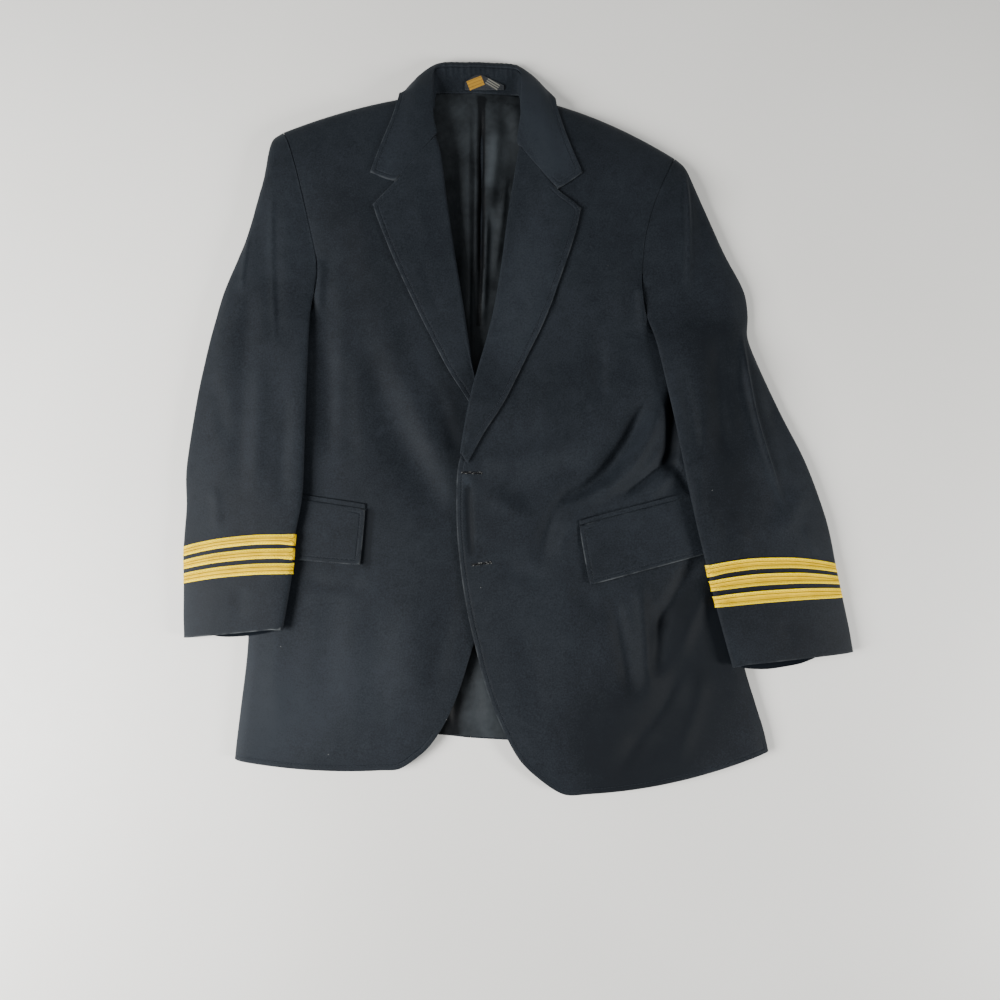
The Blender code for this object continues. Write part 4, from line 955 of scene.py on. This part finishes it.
seam_cloth = twill("navy_twill_seams", 45.0, False)
for seam in ("armhole_right", "armhole_left"):
    sleeve = SEAMS[seam][1]
    beds[sleeve] = Bed(sleeve)
for seam, (first, second, corners) in SEAMS.items():
    path = even_path(corners, SEAM_PITCH)
    points = []
    for i in range(1, len(path) - 1):
        dx, dy = path[i + 1] - path[i - 1]
        length = math.hypot(dx, dy)
        spots = []
        for reach in (-SEAM_HALF, SEAM_HALF):
            x, y = path[i][0] - dy / length * reach, path[i][1] + dx / length * reach
            hits = [beds[node].under(x, y)[0] for node in (first, second)]
            hits = [hit for hit in hits if hit is not None]
            if hits:
                top = max(hits, key=lambda hit: hit.z)
                spots.append((top.x, top.y, top.z - SEAM_SINK * MM))
        if len(spots) == 2:
            points += spots
    allowance = ribbon(f"allowance_{seam}", points, seam_cloth)
    for name, level in (("edge", FAR_FROM_RIM), ("tone_and_painted_light", 0.0), ("sewn", 0.0)):
        set_values(allowance.data, name, np.full(len(points), level))

# Buttonholes: two slits cut into the left front, worked round with purl stitches that are rubbed pale. The
# stitches lie square to the slit on both sides and fan out round one end.
HOLES = (((-59.5, -79), (-37, -79.5)), ((-48.5, -182), (-26, -179)))
PURL_PITCH = 0.62
PURL_LENGTH = 1.3
PURL_RADIUS = 0.2
PURL_OUT = 0.95
PURL_LIFT = 0.12
FAN_TURNS = range(-80, 81, 16)
SLIT_HALF = 0.34
SLIT_END = 0.35
SLIT_SWELL = 4
SLIT_LIFT = 0.1
SLIT_STEPS = 16
PURL_DARK = (0.004, 0.005, 0.007, 1)
PURL_PALE = (0.16, 0.16, 0.15, 1)
PURL_BUMP = 0.0001
# Each slit is a near-black sheet laid on the cloth: painted shade for the gap of the cut
SLIT_DARK = (0.0008, 0.0008, 0.001, 1)
SLIT_LIGHT = (0.003, 0.003, 0.004, 1)
SLIT_BUMP = 0.00005
purl_shine = Shading("purl_thread", 0.7, Specular_IOR_Level=0.15)
place = purl_shine.place()
frayed = purl_shine.noise(place, 520.0, 3.0)
colour = purl_shine.mixed(((frayed - 0.53) * 9.0).clipped(), PURL_DARK, PURL_PALE)
purl_shine.finish(colour, 0.5 + frayed * 0.2, frayed, PURL_BUMP)
slit_shade = Shading("buttonhole_slit_painted_shade", 0.9, Specular_IOR_Level=0.05)
place = slit_shade.place()
colour = slit_shade.mixed(slit_shade.noise(place, 900.0), SLIT_DARK, SLIT_LIGHT)
roughness = 0.9 + slit_shade.noise(place, 500.0) * 0.05
slit_shade.finish(colour, roughness, slit_shade.noise(place, 1500.0), SLIT_BUMP)


def purl(x, y, away):
    """One purl stitch on the left front, lying in the direction away."""
    spot, normal = beds["front_left"].under(x, y)
    along = away - normal * away.dot(normal)
    return Thread(spot + normal * (PURL_LIFT * MM), along, normal, PURL_LENGTH, PURL_RADIUS)


purls = []
for (ax, ay), (bx, by) in HOLES:
    length = math.dist((ax, ay), (bx, by))
    ux, uy = (bx - ax) / length, (by - ay) / length
    for k in range(int(length / PURL_PITCH)):
        run = k * PURL_PITCH
        for side in (-1, 1):
            x = ax + ux * run - uy * side * PURL_OUT
            y = ay + uy * run + ux * side * PURL_OUT
            purls.append(purl(x, y, Vector((-uy, ux, 0))))
    for turn in FAN_TURNS:
        angle = math.radians(turn)
        away = Vector((-ux * math.cos(angle) + uy * math.sin(angle),
                       -ux * math.sin(angle) - uy * math.cos(angle), 0))
        purls.append(purl(ax + away.x * PURL_OUT, ay + away.y * PURL_OUT, away))
    slit_points = []
    for k in range(SLIT_STEPS + 1):
        run = length * k / SLIT_STEPS
        half = SLIT_HALF * min(1.0, SLIT_END + SLIT_SWELL * math.sin(math.pi * k / SLIT_STEPS))
        for side in (-1, 1):
            x = ax + ux * run - uy * side * half
            y = ay + uy * run + ux * side * half
            spot, normal = beds["front_left"].under(x, y)
            slit_points.append(spot + normal * (SLIT_LIFT * MM))
    ribbon(f"slit_{len(purls)}", slit_points, slit_shade)
thread_mesh("buttonholes", purls, purl_shine)

# Floor: a plain pale sheet of vinyl, a little uneven in tone. The jacket lies on it, and it is no part of the
# jacket.
FLOOR_HALF = 2.5
FLOOR_PALE = (0.79, 0.775, 0.735, 1)
FLOOR_GREY = (0.69, 0.675, 0.635, 1)
FLOOR_BUMP = 0.0001
floor_mesh = bpy.data.meshes.new("floor")
floor_corners = [(i * FLOOR_HALF, j * FLOOR_HALF, 0) for i, j in ((-1, -1), (1, -1), (1, 1), (-1, 1))]
floor_mesh.from_pydata(floor_corners, [], [(0, 1, 2, 3)])
floor = bpy.data.objects.new("floor", floor_mesh)
bpy.context.scene.collection.objects.link(floor)
vinyl = Shading("pale_vinyl", 0.5)
place = vinyl.place()
drift = vinyl.noise(place, 2.2, 2.0)
grain = vinyl.noise(place, 60.0, 2.0)
colour = vinyl.mixed((drift * 1.6 - 0.4).clipped(), FLOOR_GREY, FLOOR_PALE)
vinyl.finish(colour, 0.45 + grain * 0.1, grain, FLOOR_BUMP)
floor_mesh.materials.append(vinyl.material)

# Light: a window on the wearer's right, a weaker one beyond the left cuff, and an even pale room. The windows
# stand low to the side, so that the folds show.
Lamp = namedtuple("Lamp", "name at watts size")
LAMPS = (
    Lamp("window", (-1.45, -0.50, 0.95), 86.0, 0.90),
    Lamp("far_window", (1.75, -0.80, 0.78), 52.0, 0.50),
)
ROOM = (0.93, 0.97, 1.0, 1)
ROOM_STRENGTH = 0.32
for row in LAMPS:
    lamp_data = bpy.data.lights.new(row.name, "AREA")
    lamp_data.energy = row.watts
    lamp_data.size = row.size
    lamp = bpy.data.objects.new(row.name, lamp_data)
    lamp.location = row.at
    lamp.rotation_euler = (-Vector(row.at)).to_track_quat("-Z", "Y").to_euler()
    bpy.context.scene.collection.objects.link(lamp)
world = bpy.data.worlds.new("room")
world.use_nodes = True
world.node_tree.nodes["Background"].inputs["Color"].default_value = ROOM
world.node_tree.nodes["Background"].inputs["Strength"].default_value = ROOM_STRENGTH
bpy.context.scene.world = world

# Camera: from above, a little towards the hem and tilted up to the collar. Its distance, tilt and lens fit
# the jacket's outline.
CAMERA_AT = (-0.01766, -0.208, 0.820)
CAMERA_TILT = 7.0
CAMERA_LENS = 25.99
camera_data = bpy.data.cameras.new("camera")
camera_data.lens = CAMERA_LENS
camera_data.sensor_width = 36.0
camera_data.clip_start = 0.01
camera = bpy.data.objects.new("camera", camera_data)
camera.location = CAMERA_AT
camera.rotation_euler = (math.radians(CAMERA_TILT), 0, 0)
bpy.context.scene.collection.objects.link(camera)
bpy.context.scene.camera = camera
